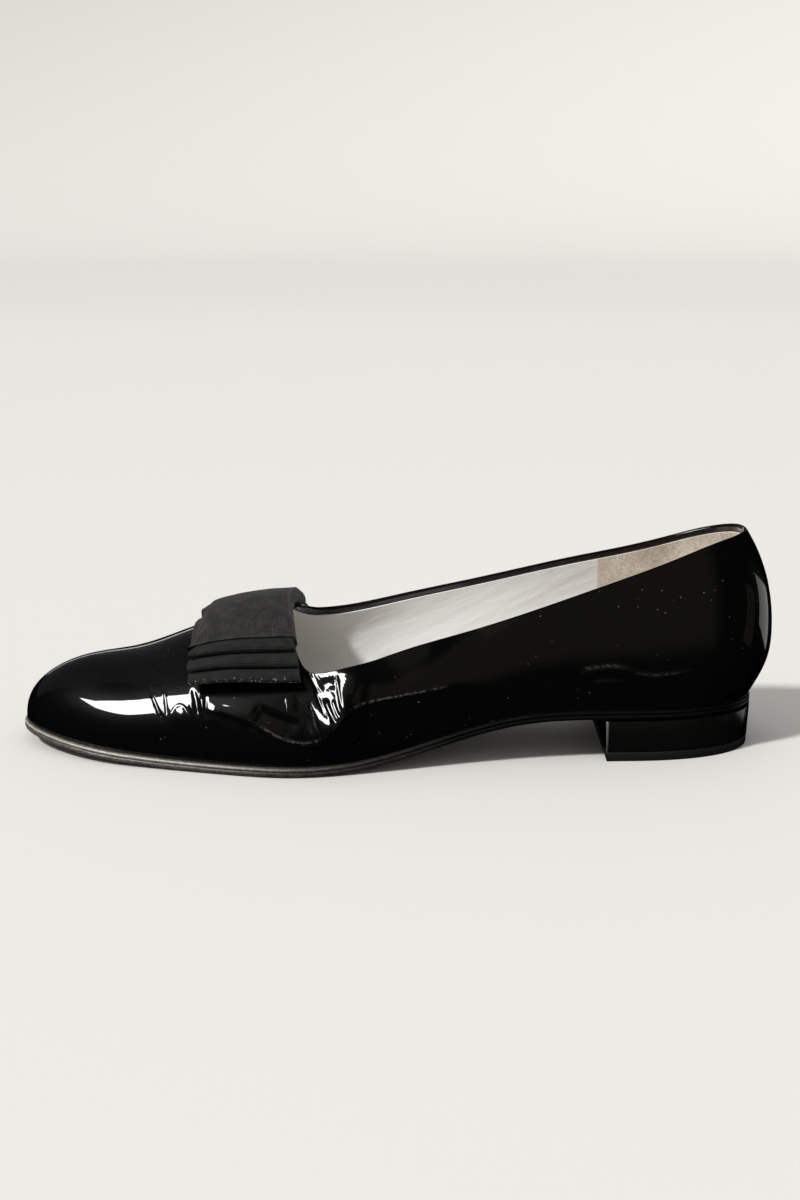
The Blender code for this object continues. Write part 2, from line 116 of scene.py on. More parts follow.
# The top rib of the sole is painted pale round the forefoot, a painted highlight: its middle step, how many
# steps it spans, and how far from the toe it stays full and stops
HIGHLIGHT_RIB_STEP = 7.6
HIGHLIGHT_RIB_STEPS = 1.2
HIGHLIGHT_RIB_FULL = 45.0
HIGHLIGHT_RIB_END = 132.0
LAST_COLUMNS = ("from_toe", "ridge", "shift", "flare_lateral", "flare_medial", "rise", "crown")
LAST_SECTIONS = (
    (0.0, 28.0, 0.5, 3.0, 3.0, 9.0, 12.0),
    (20.0, 30.0, 0.8, 3.8, 3.8, 11.0, 14.5),
    (40.0, 31.8, 1.5, 4.6, 4.6, 13.0, 17.5),
    (60.0, 38.6, 2.4, 5.2, 5.4, 16.0, 19.5),
    (78.0, 43.3, 3.0, 5.6, 6.2, 18.5, 20.5),
    (97.0, 47.0, 3.0, 5.6, 7.4, 20.5, 21.5),
    (120.0, 56.5, 2.5, 5.6, 8.6, 23.0, 20.5),
    (150.0, 72.0, 1.5, 5.2, 8.0, 27.0, 18.5),
    (180.0, 85.0, 0.5, 4.4, 5.6, 30.0, 17.0),
    (210.0, 96.0, 0.0, 3.8, 4.4, 32.0, 16.0),
    (240.0, 103.0, 0.0, 4.0, 4.2, 33.0, 15.0),
    (260.0, 106.0, 0.0, 4.2, 4.2, 33.0, 14.0),
)
HEEL_COLUMNS = ("height", "from_toe")
HEEL_CURVE = (
    (18.0, 254.0),
    (30.0, 260.0),
    (42.0, 261.2),
    (54.0, 259.8),
    (64.0, 256.7),
    (70.0, 253.9),
    (76.0, 250.3),
)
TOPLINE_COLUMNS = ("from_toe", "lateral", "medial")
TOPLINE = (
    (95.0, 33.8, 41.4),
    (107.0, 33.0, 41.0),
    (132.0, 39.6, 45.6),
    (159.0, 47.4, 52.0),
    (191.0, 57.5, 59.7),
    (221.0, 67.7, 66.1),
    (243.0, 74.0, 72.4),
    (258.0, 76.0, 76.0),
)

# Bow: three stacked loops of ribbon held by one wide band
RIBBON_WIDTH = 33.2
RIBBON_THICKNESS = 0.4
BAND_HALF = 22.0
BOW_CENTRE = 78.7
BOW_SWEEP = 0.12
BOW_SWEEP_EASE = 8.0
BOW_FAN = 0.0058
BOW_SPLAY = 0.002
BOW_TOE_LIFT = {LATERAL: 2.5, MEDIAL: 0.0}
BOW_BASE_GAP = 0.45
LOOP_HOLLOW = 0.25
LOOP_CROWN = 0.45
LOOP_FOLD = 2.5
LOOP_PUFF_LENGTH = 7.0
LOOP_STAND_OFF = {LATERAL: 2.0, MEDIAL: 0.6}
PINCH_START = 12.0
PINCH_END = 29.0
BAND_FRONT_HEIGHT = 1.6
BAND_EASE = 2.5
# Loops from the lowest up: name, half length, and how far the front edge is drawn back under the band
BOW_LOOPS = (
    ("bow_loop_bottom", 36.0, 4.5),
    ("bow_loop_middle", 31.5, 6.5),
    ("bow_loop_top", 26.5, 9.0),
)
# Real ribs are about 0.6 mm apart; these are drawn coarser so that they show in the render
RIB_PITCH = 0.8
RIB_HEIGHT = 0.09
RIBBON_WAVE = 0.2
RIBBON_WAVE_LENGTH = 7.0
LOOP_TOP_POINTS = 520
BAND_TOP_POINTS = 190
LOOP_UNDER_POINTS = 120
LOOP_STRIPS = 24
FOLD_STEPS = 22
BAND_UNDER_POINTS = 60
BAND_SIDE_STEPS = 8
BAND_STRIPS = 40
# The ribs wander along the ribbon by this much, over this distance across it
RIB_WANDER = 0.35
RIB_WANDER_LENGTH = 9.0
RIB_WANDER_SEED = 3.0
SELVEDGE = 0.6
# Lint hangs on the outer fold of the longest loop, this far out from the middle
LINT_FROM = 34.2
LINT_FULL = 35.6

# Edge of the upper: the patent is turned in over the topline, and the lining stops below it
RIM_RISE = 0.45
TURN_IN = 2.2
LINING_THICKNESS = 0.4
LINING_GAP = 0.25
GRIP_FRONT = 203.0
GRIP_THICKNESS = 0.52
# A free edge of the upper that reaches above this height lies round the opening
OPENING_ABOVE = 24.4

# Hollows that the heel and the ball of the foot press into the sock: depth, from_toe, half length, how far
# towards the inner side, and half width
SOCK_HOLLOWS = (
    (0.5, 226.0, 20.0, 0.0, 15.0),
    (0.45, 82.0, 18.0, 6.0, 22.0),
)
SOCK_EDGE_DROP = 0.35
SOCK_EDGE_POWER = 24
SOCK_STRIPS = 48
HEEL_BEVEL = 0.25
LIFT_BEVEL = 0.3
BEVEL_EASE = 0.3
HEEL_STEPS = 48

# How fine the skins are: runs of places along the shoe as start, end, steps and the end where they crowd
TOE_END = 42.0
SEAT_START = 206.0
UPPER_RUNS = (
    (UPPER_TIP, TOE_END, 36, "start"),
    (TOE_END, 72.0, 80),
    (72.0, THROAT, 44),
    (THROAT, THROAT + THROAT_CORNER, 30, "start"),
    (THROAT + THROAT_CORNER, 117.0, 36),
    (117.0, 128.0, 16),
    (128.0, 152.0, 28),
    (152.0, SEAT_START, 24),
    (SEAT_START, HEEL_REFERENCE, 40, "end"),
)
LINING_RUNS = (
    (UPPER_TIP, TOE_END, 28, "start"),
    (TOE_END, 88.0, 20),
    (88.0, 112.0, 40),
    (112.0, GRIP_FRONT, 60),
)
GRIP_RUNS = (
    (GRIP_FRONT, 220.0, 14),
    (220.0, HEEL_REFERENCE, 46, "end"),
)
UPPER_ROWS = 120
LINING_ROWS = 40
GRIP_ROWS = 44
# The upper's inner face has one row for so many of its outer face, and its turned edge so many steps
INNER_STEP = 8
RIM_STEPS = 6
# Rings of the sole's side for each step of its table
EDGE_RINGS = 4
SHARP_ANGLE = 50.0

# Creases of the worn upper, as lines on the side of the shoe: points are (from_toe, height above the floor).
# "left" and "right" are the widths of the crease to either side of the line, "height" is out of the leather,
# so a trough is negative.
# Each row is a side, a line, its widths to the left and right, and its height.
CREASES = (
    # Wrinkles across the side of the toe box
    (LATERAL, ((47.8, 26.6), (49.2, 23.6), (50.9, 20.9), (52.7, 17.8), (54.0, 15.4)), 0.50, 0.42, -0.22),
    (LATERAL, ((53.0, 27.2), (53.6, 25.0), (54.2, 22.4), (54.8, 19.6), (55.2, 17.6)), 0.42, 0.42, -0.16),
    (
        LATERAL,
        ((56.4, 17.4), (56.9, 19.6), (58.4, 21.3), (60.3, 21.3), (61.8, 19.9), (62.5, 17.6)),
        0.40, 0.45, -0.15,
    ),
    (LATERAL, ((62.8, 27.0), (64.4, 24.0), (65.2, 21.6), (66.0, 18.6)), 1.00, 0.70, -0.34),
    (LATERAL, ((62.6, 23.0), (64.0, 20.0), (65.5, 16.5)), 0.50, 0.55, 0.20),
    (LATERAL, ((66.6, 25.0), (67.3, 21.6), (67.4, 18.2)), 0.70, 0.70, 0.24),
    (LATERAL, ((68.2, 25.0), (68.4, 21.0), (68.6, 17.5)), 0.50, 0.50, -0.20),
    # The fold that hangs below the ball, and the trough inside it
    (
        LATERAL,
        ((58.0, 21.0), (66.0, 21.0), (74.0, 20.4), (80.0, 19.0), (86.0, 17.4), (91.7, 14.4), (96.0, 12.6),
         (100.5, 12.0), (107.1, 13.9), (111.5, 17.2), (114.5, 20.4), (118.5, 23.2)),
        7.0, 0.8, 0.9,
    ),
    (LATERAL, ((84.3, 23.0), (87.1, 21.3), (91.7, 19.7), (96.5, 18.3), (101.0, 17.6)), 1.8, 7.0, -1.20),
    (LATERAL, ((99.2, 31.0), (99.8, 24.0), (100.2, 16.5)), 1.9, 1.7, -0.08),
    # Its end, where the leather stands out beside the throat
    (
        LATERAL,
        ((103.0, 11.5), (108.0, 14.5), (112.5, 18.6), (115.5, 23.5), (117.5, 28.5),
         (119.0, 34.0), (120.5, 42.0)),
        8.5, 5.0, 2.6,
    ),
    (
        LATERAL,
        ((99.0, 11.5), (104.0, 12.3), (108.5, 14.8), (112.0, 18.0), (115.0, 21.5), (119.0, 24.5)),
        4.5, 0.9, 2.2,
    ),
    # Short wrinkles on that end
    (LATERAL, ((104.2, 29.0), (105.4, 26.4), (107.2, 22.2), (109.2, 17.6)), 0.50, 0.50, -0.26),
    (LATERAL, ((102.2, 26.0), (103.4, 22.6), (105.0, 18.6), (106.4, 14.6)), 0.50, 0.50, -0.26),
    (LATERAL, ((102.6, 21.4), (103.2, 18.2), (104.2, 14.0)), 0.45, 0.45, -0.22),
    (LATERAL, ((111.6, 34.0), (112.2, 29.0), (112.9, 24.4), (113.8, 20.4)), 0.50, 0.50, -0.24),
    (LATERAL, ((101.8, 34.0), (103.3, 31.4), (105.4, 28.2), (107.8, 25.4)), 0.50, 0.60, -0.24),
    (LATERAL, ((107.4, 26.4), (108.8, 23.2), (110.2, 20.0), (111.2, 17.4)), 0.80, 0.80, -0.45),
    (LATERAL, ((110.2, 25.6), (111.2, 22.4), (112.4, 19.4)), 0.60, 0.60, -0.30),
    # The fold that runs on from it along the quarter, with a fine crest
    (
        LATERAL,
        ((108.0, 16.0), (114.5, 21.0), (118.5, 24.6), (124.5, 27.0), (131.6, 28.6),
         (138.6, 29.8), (145.3, 30.8), (154.0, 32.0), (164.0, 33.0)),
        16.0, 6.0, 1.5,
    ),
    (
        LATERAL,
        ((112.0, 18.5), (118.5, 23.3), (124.5, 24.9), (131.6, 26.1), (138.6, 27.2),
         (145.3, 28.4), (150.0, 29.2)),
        0.50, 0.45, 0.26,
    ),
    (
        LATERAL,
        ((84.0, 17.6), (88.0, 16.4), (92.0, 14.5), (96.0, 13.0), (100.5, 12.4), (105.0, 13.3)),
        0.50, 0.45, 0.22,
    ),
    # Dents on the quarter beside the heel
    (LATERAL, ((191.0, 27.4), (195.3, 31.6), (201.2, 32.9), (207.3, 32.2), (215.5, 29.8)), 1.2, 1.8, 0.16),
    (LATERAL, ((194.0, 28.8), (201.0, 30.2), (210.0, 29.4)), 1.4, 1.4, -0.22),
    (LATERAL, ((209.0, 31.6), (216.0, 30.4), (225.0, 30.8), (236.0, 32.4)), 0.9, 1.1, 0.12),
    (LATERAL, ((168.0, 46.4), (178.8, 48.4), (190.0, 50.8)), 1.5, 1.5, -0.12),
    (LATERAL, ((226.0, 66.6), (235.5, 69.3), (245.0, 70.2)), 1.6, 1.6, -0.12),
    # The same bend on the inner side, where the ball is nearer the toe
    (MEDIAL, ((60.0, 27.0), (62.0, 20.5), (62.6, 15.0)), 0.7, 0.7, -0.24),
    (MEDIAL, ((66.0, 27.0), (67.2, 21.0), (67.0, 15.5)), 0.7, 0.7, -0.24),
    (MEDIAL, ((70.0, 20.0), (80.0, 16.5), (90.0, 14.5), (100.0, 17.0), (107.0, 22.5)), 3.0, 1.0, 0.6),
    (MEDIAL, ((98.0, 38.0), (99.5, 30.0), (99.0, 22.0)), 1.0, 1.0, -0.22),
    (MEDIAL, ((103.5, 38.0), (104.2, 31.0), (103.0, 24.0)), 0.9, 0.9, 0.26),
    (MEDIAL, ((108.0, 39.0), (108.6, 33.0), (110.0, 27.0)), 0.9, 0.9, 0.22),
)
# Swellings and hollows beside them: side, from_toe, height, half length, half height, and how far out
SWELLS = (
    (LATERAL, 92.0, 20.0, 12.0, 7.0, 0.15),
    (LATERAL, 59.6, 18.0, 2.6, 2.8, 0.34),
    (LATERAL, 71.2, 18.9, 2.0, 2.2, 0.32),
    (LATERAL, 66.0, 22.5, 8.0, 8.0, 0.60),
    (LATERAL, 109.4, 29.6, 2.8, 1.9, -0.60),
    (MEDIAL, 88.0, 24.0, 12.0, 8.0, 0.3),
)
# Painted highlight: pale lines along sharp crests of the outer side, with their width and strength
PAINTED_HIGHLIGHT_LINES = (
    (
        ((114.0, 20.4), (118.5, 23.3), (124.5, 24.9), (131.6, 26.1), (138.6, 27.2),
         (145.3, 28.4), (151.0, 29.4)),
        0.32, 0.5,
    ),
    (
        ((82.0, 18.0), (88.0, 16.4), (92.0, 14.5), (96.0, 13.0), (100.5, 12.4), (105.0, 13.3), (109.0, 15.4)),
        0.32, 0.42,
    ),
    (((192.0, 32.6), (197.0, 33.8), (202.0, 34.2), (208.0, 33.4)), 0.4, 0.26),
    (((210.0, 32.0), (216.0, 30.8), (222.0, 30.9), (228.0, 31.6)), 0.3, 0.16),
)
# A crease fades over this share of its length at each end, a painted highlight line over this one, and both
# are nil past so many of their widths
CREASE_FADE = 0.3
PAINTED_HIGHLIGHT_FADE = 0.25
NIL_WIDTHS = 3
# Creases narrower than this don't show on the inside
SHOWS_THROUGH = 2.0
FILM_WAVE = 14.0
FILM_WAVE_HEIGHT = 0.035

# Camera: where it stands from the toe, out from the middle line and above the floor, and how far it looks
# down
CAMERA_FROM_TOE = 132.6
CAMERA_OUT = 557.0
CAMERA_HEIGHT = 200.0
CAMERA_DOWN = 15.1
CAMERA_LENS = 50.0

# Studio, in metres: a floor that curves up all round, and soft boxes that face the shoe from so far away.
# Azimuth 0 is the camera's side, and positive azimuths go towards the heel.
FLOOR_MIDDLE = 0.5
FLOOR_REACH = 2.6
FLOOR_CURVE = 1.2
FLOOR_STEPS = 12
FLOOR_SIDES = 64
AIM_HEIGHT = 0.03
SOFT_BOX_COLUMNS = (
    "name", "azimuth", "elevation", "distance", "size", "power", "colour", "seen_by",
    "roll", "feather", "taper", "tip",
)
SOFT_BOXES = (
    ("key_low", -63.2, 41.0, 1.3, (0.60, 0.25), 12.4, "#fffefb", "gloss", 8.0, 0.0, 0.45, 0.5),
    ("key_high", -65.5, 52.0, 1.3, (0.28, 0.30), 7.0, "#fffefb", "gloss", 14.0, 0.0, 0.7, 0.0),
    ("room_front", 21.0, 9.0, 1.6, (1.76, 1.34), 1.00, "#ddd6b2", "gloss", 0.0, 0.22, 0.0, 0.5),
    ("room_side", -16.7, 38.2, 1.6, (2.04, 0.58), 0.50, "#ddd6b2", "gloss", -56.0, 0.10, 0.0, 0.5),
    ("room_behind", -138.0, 36.0, 1.6, (2.0, 1.7), 0.90, "#e2e4e4", "gloss", 0.0, 0.06, 0.0, 0.5),
    ("heel_box", 106.0, -5.5, 1.2, (0.62, 0.36), 0.86, "#eef0e6", "gloss", -20.0, 0.05, 0.0, 0.5),
    ("heel_side_box", 76.0, -3.5, 1.2, (0.26, 0.40), 0.035, "#e6d8c4", "gloss", -20.0, 0.05, 0.0, 0.5),
    ("back_box", 178.0, 8.0, 1.7, (2.4, 0.14), 1.3, "#ffffff", "gloss", 0.0, 0.0, 0.0, 0.5),
    ("fill", 0.0, 89.0, 2.0, (2.4, 2.4), 10.0, "#ffffff", "matt", 0.0, 0.0, 0.0, 0.5),
)
LEAST_FADE = 0.001
LAMP_POWER = 3.4
LAMP_ANGLE = 6.0
LAMP_TILT = (42.0, 0.0, -53.0)
SKY_POWER = 0.5

# Sockets of a Mix node that take its first and second colour
FIRST, SECOND = 6, 7


def natural_spline(knots, values):
    """The natural cubic spline through a table's rows, as a function of its first column."""
    knots = np.asarray(knots, float)
    values = np.asarray(values, float)
    gaps = np.diff(knots)
    slopes = np.diff(values) / gaps
    matrix = np.eye(len(knots))
    right = np.zeros(len(knots))
    for i in range(1, len(knots) - 1):
        matrix[i, i - 1 : i + 2] = gaps[i - 1], 2 * (gaps[i - 1] + gaps[i]), gaps[i]
        right[i] = 6 * (slopes[i] - slopes[i - 1])
    bends = np.linalg.solve(matrix, right)

    def curve(at):
        at = np.asarray(at, float)
        i = np.clip(np.searchsorted(knots, at) - 1, 0, len(gaps) - 1)
        ahead = knots[i + 1] - at
        behind = at - knots[i]
        linear = values[i] / gaps[i] - bends[i] * gaps[i] / 6
        linear_next = values[i + 1] / gaps[i] - bends[i + 1] * gaps[i] / 6
        cubic = (bends[i] * ahead**3 + bends[i + 1] * behind**3) / (6 * gaps[i])
        return cubic + linear * ahead + linear_next * behind

    return curve


def table_curves(names, rows):
    """One spline for each named column, as a function of the table's first column."""
    columns = np.array(rows, float).T
    return {name: natural_spline(columns[0], column) for name, column in zip(names[1:], columns[1:])}


SOLE = table_curves(SOLE_COLUMNS, SOLE_PLAN)
EDGE = table_curves(EDGE_COLUMNS, SOLE_EDGE)
LAST = table_curves(LAST_COLUMNS, LAST_SECTIONS)
HEEL = table_curves(HEEL_COLUMNS, HEEL_CURVE)
TOP = table_curves(TOPLINE_COLUMNS, TOPLINE)


def round_end(distance, length, fullness):
    """Runs from 0 at an end to 1 at length, as a superellipse does."""
    share = np.clip(np.asarray(distance, float) / length, 0.0, 1.0)
    return (1.0 - (1.0 - share) ** fullness) ** (1.0 / fullness)


def smooth_rise(at, start, end):
    """0 before start, 1 after end, with no jump in curvature."""
    share = np.clip((np.asarray(at, float) - start) / (end - start), 0.0, 1.0)
    return share**3 * (share * (6 * share - 15) + 10)


def spaced(start, end, count, ease="even"):
    """Places between two ends, closer together at the start or at the end where the shape turns."""
    share = np.linspace(0.0, 1.0, count + 1)
    if ease == "start":
        share = 1.0 - np.cos(share * np.pi / 2)
    if ease == "end":
        share = np.sin(share * np.pi / 2)
    return start + (end - start) * share


def places_along(runs):
    """Places along the shoe from rows of runs, each place once."""
    return np.unique(np.round(np.concatenate([spaced(*run) for run in runs]), 6))


def sole_bottom(from_toe):
    """Height of the tread: toe spring, a flat ball, and the arch up to the heel seat."""
    spring = TOE_SPRING * np.clip(1.0 - np.asarray(from_toe, float) / BALL_FRONT, 0.0, 1.0) ** 2
    return spring + ARCH_HEIGHT * smooth_rise(from_toe, BALL_BACK, ARCH_TOP)


def sole_edge(from_toe, side):
    """Half width of the sole, from its middle line to its edge."""
    toe = round_end(from_toe - SOLE_TIP, TOE_ROUND, TOE_FULLNESS)
    heel = round_end(SOLE_BACK - from_toe, HEEL_ROUND, HEEL_FULLNESS)
    return SOLE[SIDE_NAME[side]](from_toe) * toe * heel


def last_point(from_toe, share, side):
    """A point of the upper's outer face, share 0 at the sole and 1 at the ridge."""
    heel = round_end(HEEL_REFERENCE - from_toe, HEEL_ROUND, HEEL_FULLNESS)
    plan_end = round_end(from_toe - UPPER_TIP, TOE_ROUND, TOE_FULLNESS) * heel
    box_end = round_end(from_toe - UPPER_TIP, TOE_BOX_LENGTH, TOE_BOX_FULLNESS)
    foot = sole_bottom(from_toe) + SOLE_THICKNESS + GAP
    ridge = foot + (LAST["ridge"](from_toe) - foot) * box_end
    half_width = (SOLE[SIDE_NAME[side]](from_toe) - SOLE["lip"](from_toe)) * plan_end
    flare = LAST["flare_" + SIDE_NAME[side]](from_toe) * plan_end
    middle = LAST["shift"](from_toe) * plan_end
    weights = (
        (1 - share) ** 3,
        3 * share * (1 - share) ** 2,
        3 * share**2 * (1 - share),
        share**3,
    )
    across = (
        side * half_width,
        side * (half_width + flare),
        middle + side * LAST["crown"](from_toe) * plan_end,
        middle,
    )
    upward = (foot, foot + LAST["rise"](from_toe) * box_end, ridge, ridge)
    y = sum(weight * part for weight, part in zip(weights, across))
    z = sum(weight * part for weight, part in zip(weights, upward))
    pull = np.clip((from_toe - HEEL_CURVE_START) / (HEEL_REFERENCE - HEEL_CURVE_START), 0.0, 1.0)
    x = from_toe + (HEEL["from_toe"](z) - HEEL_REFERENCE) * pull**2
    seam = BACK_SEAM_HEIGHT * np.exp(-((y / BACK_SEAM_WIDTH) ** 2))
    return np.stack(np.broadcast_arrays(x + seam * (pull > BACK_SEAM_FROM), y, z), axis=-1)


def edge_share(from_toe, side, below):
    """How far up each half section the leather reaches, some way below the topline and inside the throat."""
    samples = np.linspace(0.0, 1.0, 500)
    shares = []
    for at in from_toe:
        heights = last_point(at, samples, side)[:, 2]
        quarter = np.interp(TOP[SIDE_NAME[side]](at) - below, heights, samples)
        corner = round_end(at - THROAT + below, THROAT_CORNER, THROAT_FULLNESS)
        shares.append(1.0 - (1.0 - quarter) * corner)
    return np.array(shares)


def drawing_zero():
    """Where the drawing's zero lies in the frame, in metres, by the tip and outer edge of the sole."""
    low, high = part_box("outsole")
    widest = sole_edge(np.arange(BALL_FRONT, ARCH_TOP, 0.5), LATERAL).max()
    return np.array([low.x - SOLE_TIP * MM, low.y + widest * MM, 0.0])


ZERO = drawing_zero()


def to_frame(points):
    """Drawing millimetres to metres in the frame."""
    return np.asarray(points, float) * MM + ZERO


def add_object(name, data):
    """Adds an object to the scene."""
    made = bpy.data.objects.new(name, data)
    bpy.context.scene.collection.objects.link(made)
    return made


def smooth_mesh(name, points, faces, finish):
    """A smooth mesh from points in metres; a corner that a face names twice is dropped."""
    mesh = bpy.data.meshes.new(name)
    corners = [list(dict.fromkeys(int(i) for i in face)) for face in faces]
    mesh.from_pydata(points, [], [face for face in corners if len(face) > 2])
    mesh.validate()
    mesh.shade_smooth()
    mesh.set_sharp_from_angle(angle=np.radians(SHARP_ANGLE))
    mesh.materials.append(finish)
    return mesh


def add_piece(name, points, faces, finish, replaces=(), wear=None):
    """Makes a smooth piece from drawing points, riding on the shoe; wear names values kept at each point."""
    mesh = smooth_mesh(name, to_frame(points), faces, finish)
    for wear_name, values in (wear or {}).items():
        mesh.attributes.new(wear_name, "FLOAT", "POINT").data.foreach_set("value", values)
    piece = add_object(name, mesh)
    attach(piece, "root")
    if replaces:
        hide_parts(*replaces)
    return piece


def quads_of(index):
    """The quads of a grid of point numbers."""
    return np.stack([index[:-1, :-1], index[:-1, 1:], index[1:, 1:], index[1:, :-1]], axis=-1).reshape(-1, 4)


def ring_quads(index):
    """The quads of a grid of point numbers whose rows close on themselves."""
    return quads_of(np.concatenate([index, index[:, :1]], axis=1))


def weld(grids):
    """Joins grids that meet along their edges: every point once, and each grid's point numbers."""
    flat = np.concatenate([grid.reshape(-1, 3) for grid in grids])
    kept, number = np.unique(np.round(flat, 4) + 0.0, axis=0, return_inverse=True)
    number = number.reshape(-1)
    indexes = []
    start = 0
    for grid in grids:
        count = grid.shape[0] * grid.shape[1]
        indexes.append(number[start : start + count].reshape(grid.shape[:2]))
        start += count
    return kept, indexes


def point_normals(points, quads):
    """Outward normals at the points of a skin."""
    a, b, c, d = (points[quads[:, k]] for k in range(4))
    face = np.cross(c - a, d - b)
    normals = np.zeros_like(points)
    for k in range(4):
        np.add.at(normals, quads[:, k], face)
    return normals / np.maximum(np.linalg.norm(normals, axis=1, keepdims=True), 1e-12)


def border_loops(quads):
    """Closed runs of point numbers along the free edges of a skin, in the direction of its faces."""
    used = {}
    for quad in quads:
        ring = list(dict.fromkeys(int(i) for i in quad))
        for a, b in zip(ring, ring[1:] + ring[:1]):
            used[(a, b)] = used.get((a, b), 0) + 1
    free = {a: b for a, b in used if (b, a) not in used}
    loops = []
    while free:
        first, at = free.popitem()
        loop = [first]
        while at != first:
            loop.append(at)
            at = free.pop(at)
        loops.append(np.array(loop))
    return loops


class Skin:
    """The last's surface between places along the shoe, up to an edge, as a fine open skin."""

    def __init__(self, places, rows, below=0.0):
        grids = []
        share = np.linspace(0.0, 1.0, rows + 1)
        for side in (LATERAL, MEDIAL):
            top = edge_share(places, side, below)[:, None]
            grids.append(last_point(places[:, None], top * share[None, :], side))
        self.points, self.index = weld(grids)
        lateral = quads_of(self.index[0])[:, ::-1]
        self.quads = np.concatenate([lateral, quads_of(self.index[1])])
        self.normals = point_normals(self.points, self.quads)
        if (self.normals * (self.points - self.points.mean(axis=0))).sum() < 0:
            self.quads = self.quads[:, ::-1]
            self.normals = -self.normals


def line_through(points, count=12):
    """A smooth line through given points."""
    points = np.asarray(points, float)
    ends = np.concatenate([[2 * points[0] - points[1]], points, [2 * points[-1] - points[-2]]])
    share = np.linspace(0.0, 1.0, count, endpoint=False)[:, None]
    pieces = []
    for a, b, c, d in zip(ends, ends[1:], ends[2:], ends[3:]):
        square = 2 * a - 5 * b + 4 * c - d
        cube = 3 * b - a - 3 * c + d
        pieces.append(0.5 * (2 * b + (c - a) * share + square * share**2 + cube * share**3))
    return np.concatenate([*pieces, points[-1:]])


def line_distance(flat, path):
    """How far points lie from a line, on which side (left is positive) and how far along it, from 0 to 1."""
    gap = flat[:, None, :] - path[None, :, :]
    closest = np.argmin((gap**2).sum(axis=2), axis=1)
    gap = gap[np.arange(len(closest)), closest]
    heading = np.gradient(path, axis=0)[closest]
    step = np.linalg.norm(heading, axis=1)
    heading /= step[:, None]
    slide = np.clip((gap * heading).sum(axis=1), -step, step)
    gap -= slide[:, None] * heading
    beside = np.sign(heading[:, 0] * gap[:, 1] - heading[:, 1] * gap[:, 0])
    along = np.clip((closest + slide / step) / (len(path) - 1), 0.0, 1.0)
    return np.linalg.norm(gap, axis=1), beside, along


def on_side(points, side):
    """Which points lie on one side of the last's middle line."""
    return (points[:, 1] < LAST["shift"](points[:, 0])) == (side == LATERAL)


def line_share(points, side, line, left, right, fade):
    """How much of a line's full height each point has: a bell across it, falling to nothing at its ends."""
    path = line_through(line)
    reach = NIL_WIDTHS * max(left, right)
    flat = points[:, [0, 2]]
    near = (flat > path.min(axis=0) - reach).all(axis=1) & (flat < path.max(axis=0) + reach).all(axis=1)
    near &= on_side(points, side)
    distance, beside, along = line_distance(flat[near], path)
    width = np.where(beside > 0, left, right)
    ends = smooth_rise(along, 0.0, fade) * smooth_rise(1.0 - along, 0.0, fade)
    share = np.zeros(len(points))
    share[near] = ends * np.exp(-((distance / width) ** 2))
    return share


def crease_height(points, narrowest=0.0):
    """How far the worn leather stands out of the last at each point; narrower creases don't show through."""
    height = np.zeros(len(points))
    for side, line, left, right, rise in CREASES:
        if max(left, right) >= narrowest:
            height += rise * line_share(points, side, line, left, right, CREASE_FADE)
    for side, at, level, half_length, half_height, swell in SWELLS:
        spread = ((points[:, 0] - at) / half_length) ** 2 + ((points[:, 2] - level) / half_height) ** 2
        height += np.where(on_side(points, side), swell * np.exp(-spread), 0.0)
    waves = np.array([noise.noise(Vector(point / FILM_WAVE)) for point in points])
    return height + FILM_WAVE_HEIGHT * waves


def crest_highlight_share(points):
    """How much painted highlight each point gets along the sharp crests."""
    wear = np.zeros(len(points))
    for line, width, strength in PAINTED_HIGHLIGHT_LINES:
        wear += strength * line_share(points, LATERAL, line, width, width, PAINTED_HIGHLIGHT_FADE)
    return wear


def build_upper(finish):
    """The patent upper: a creased outer face, a turned edge round the opening and a plainer inner face."""
    skin = Skin(places_along(UPPER_RUNS), UPPER_ROWS, below=RIM_RISE)
    outer = skin.points + skin.normals * crease_height(skin.points)[:, None]
    inner_index = [index[:, ::INNER_STEP] for index in skin.index]
    inner_quads = np.concatenate([quads_of(inner_index[0])[:, ::-1], quads_of(inner_index[1])])
    used, inner_number = np.unique(inner_quads, return_inverse=True)
    shown_through = crease_height(skin.points[used], SHOWS_THROUGH)
    inner = skin.points[used] + skin.normals[used] * (shown_through - WALL)[:, None]
    number_of = dict(zip(used.tolist(), range(len(used))))
    points = [outer, inner]
    faces = [skin.quads, len(outer) + inner_number.reshape(-1, 4)[:, ::-1]]
    start = len(outer) + len(inner)
    for loop in border_loops(skin.quads):
        inside = np.array([number_of[int(i)] for i in loop])
        strips = [loop]
        if skin.points[loop][:, 2].max() > OPENING_ABOVE:
            run = np.roll(outer[loop], -1, axis=0) - np.roll(outer[loop], 1, axis=0)
            out = np.cross(run, skin.normals[loop])
            out /= np.linalg.norm(out, axis=1, keepdims=True)
            middle = (outer[loop] + inner[inside]) / 2
            across = (outer[loop] - inner[inside]) / 2
            for angle in spaced(0.0, np.pi, RIM_STEPS)[1:-1]:
                points.append(middle + across * np.cos(angle) + out * RIM_RISE * np.sin(angle))
                strips.append(start + np.arange(len(loop)))
                start += len(loop)
        strips.append(len(outer) + inside)
        faces.append(ring_quads(np.stack(strips)))
    points = np.concatenate(points)
    # Painted highlight along the sharp crests, kept at each point of the outer face
    crest_highlight_paint = np.zeros(len(points))
    crest_highlight_paint[: len(outer)] = crest_highlight_share(skin.points)
    wear = {"crest_highlight_paint": crest_highlight_paint}
    return add_piece("upper_patent", points, np.concatenate(faces), finish, ["upper"], wear)


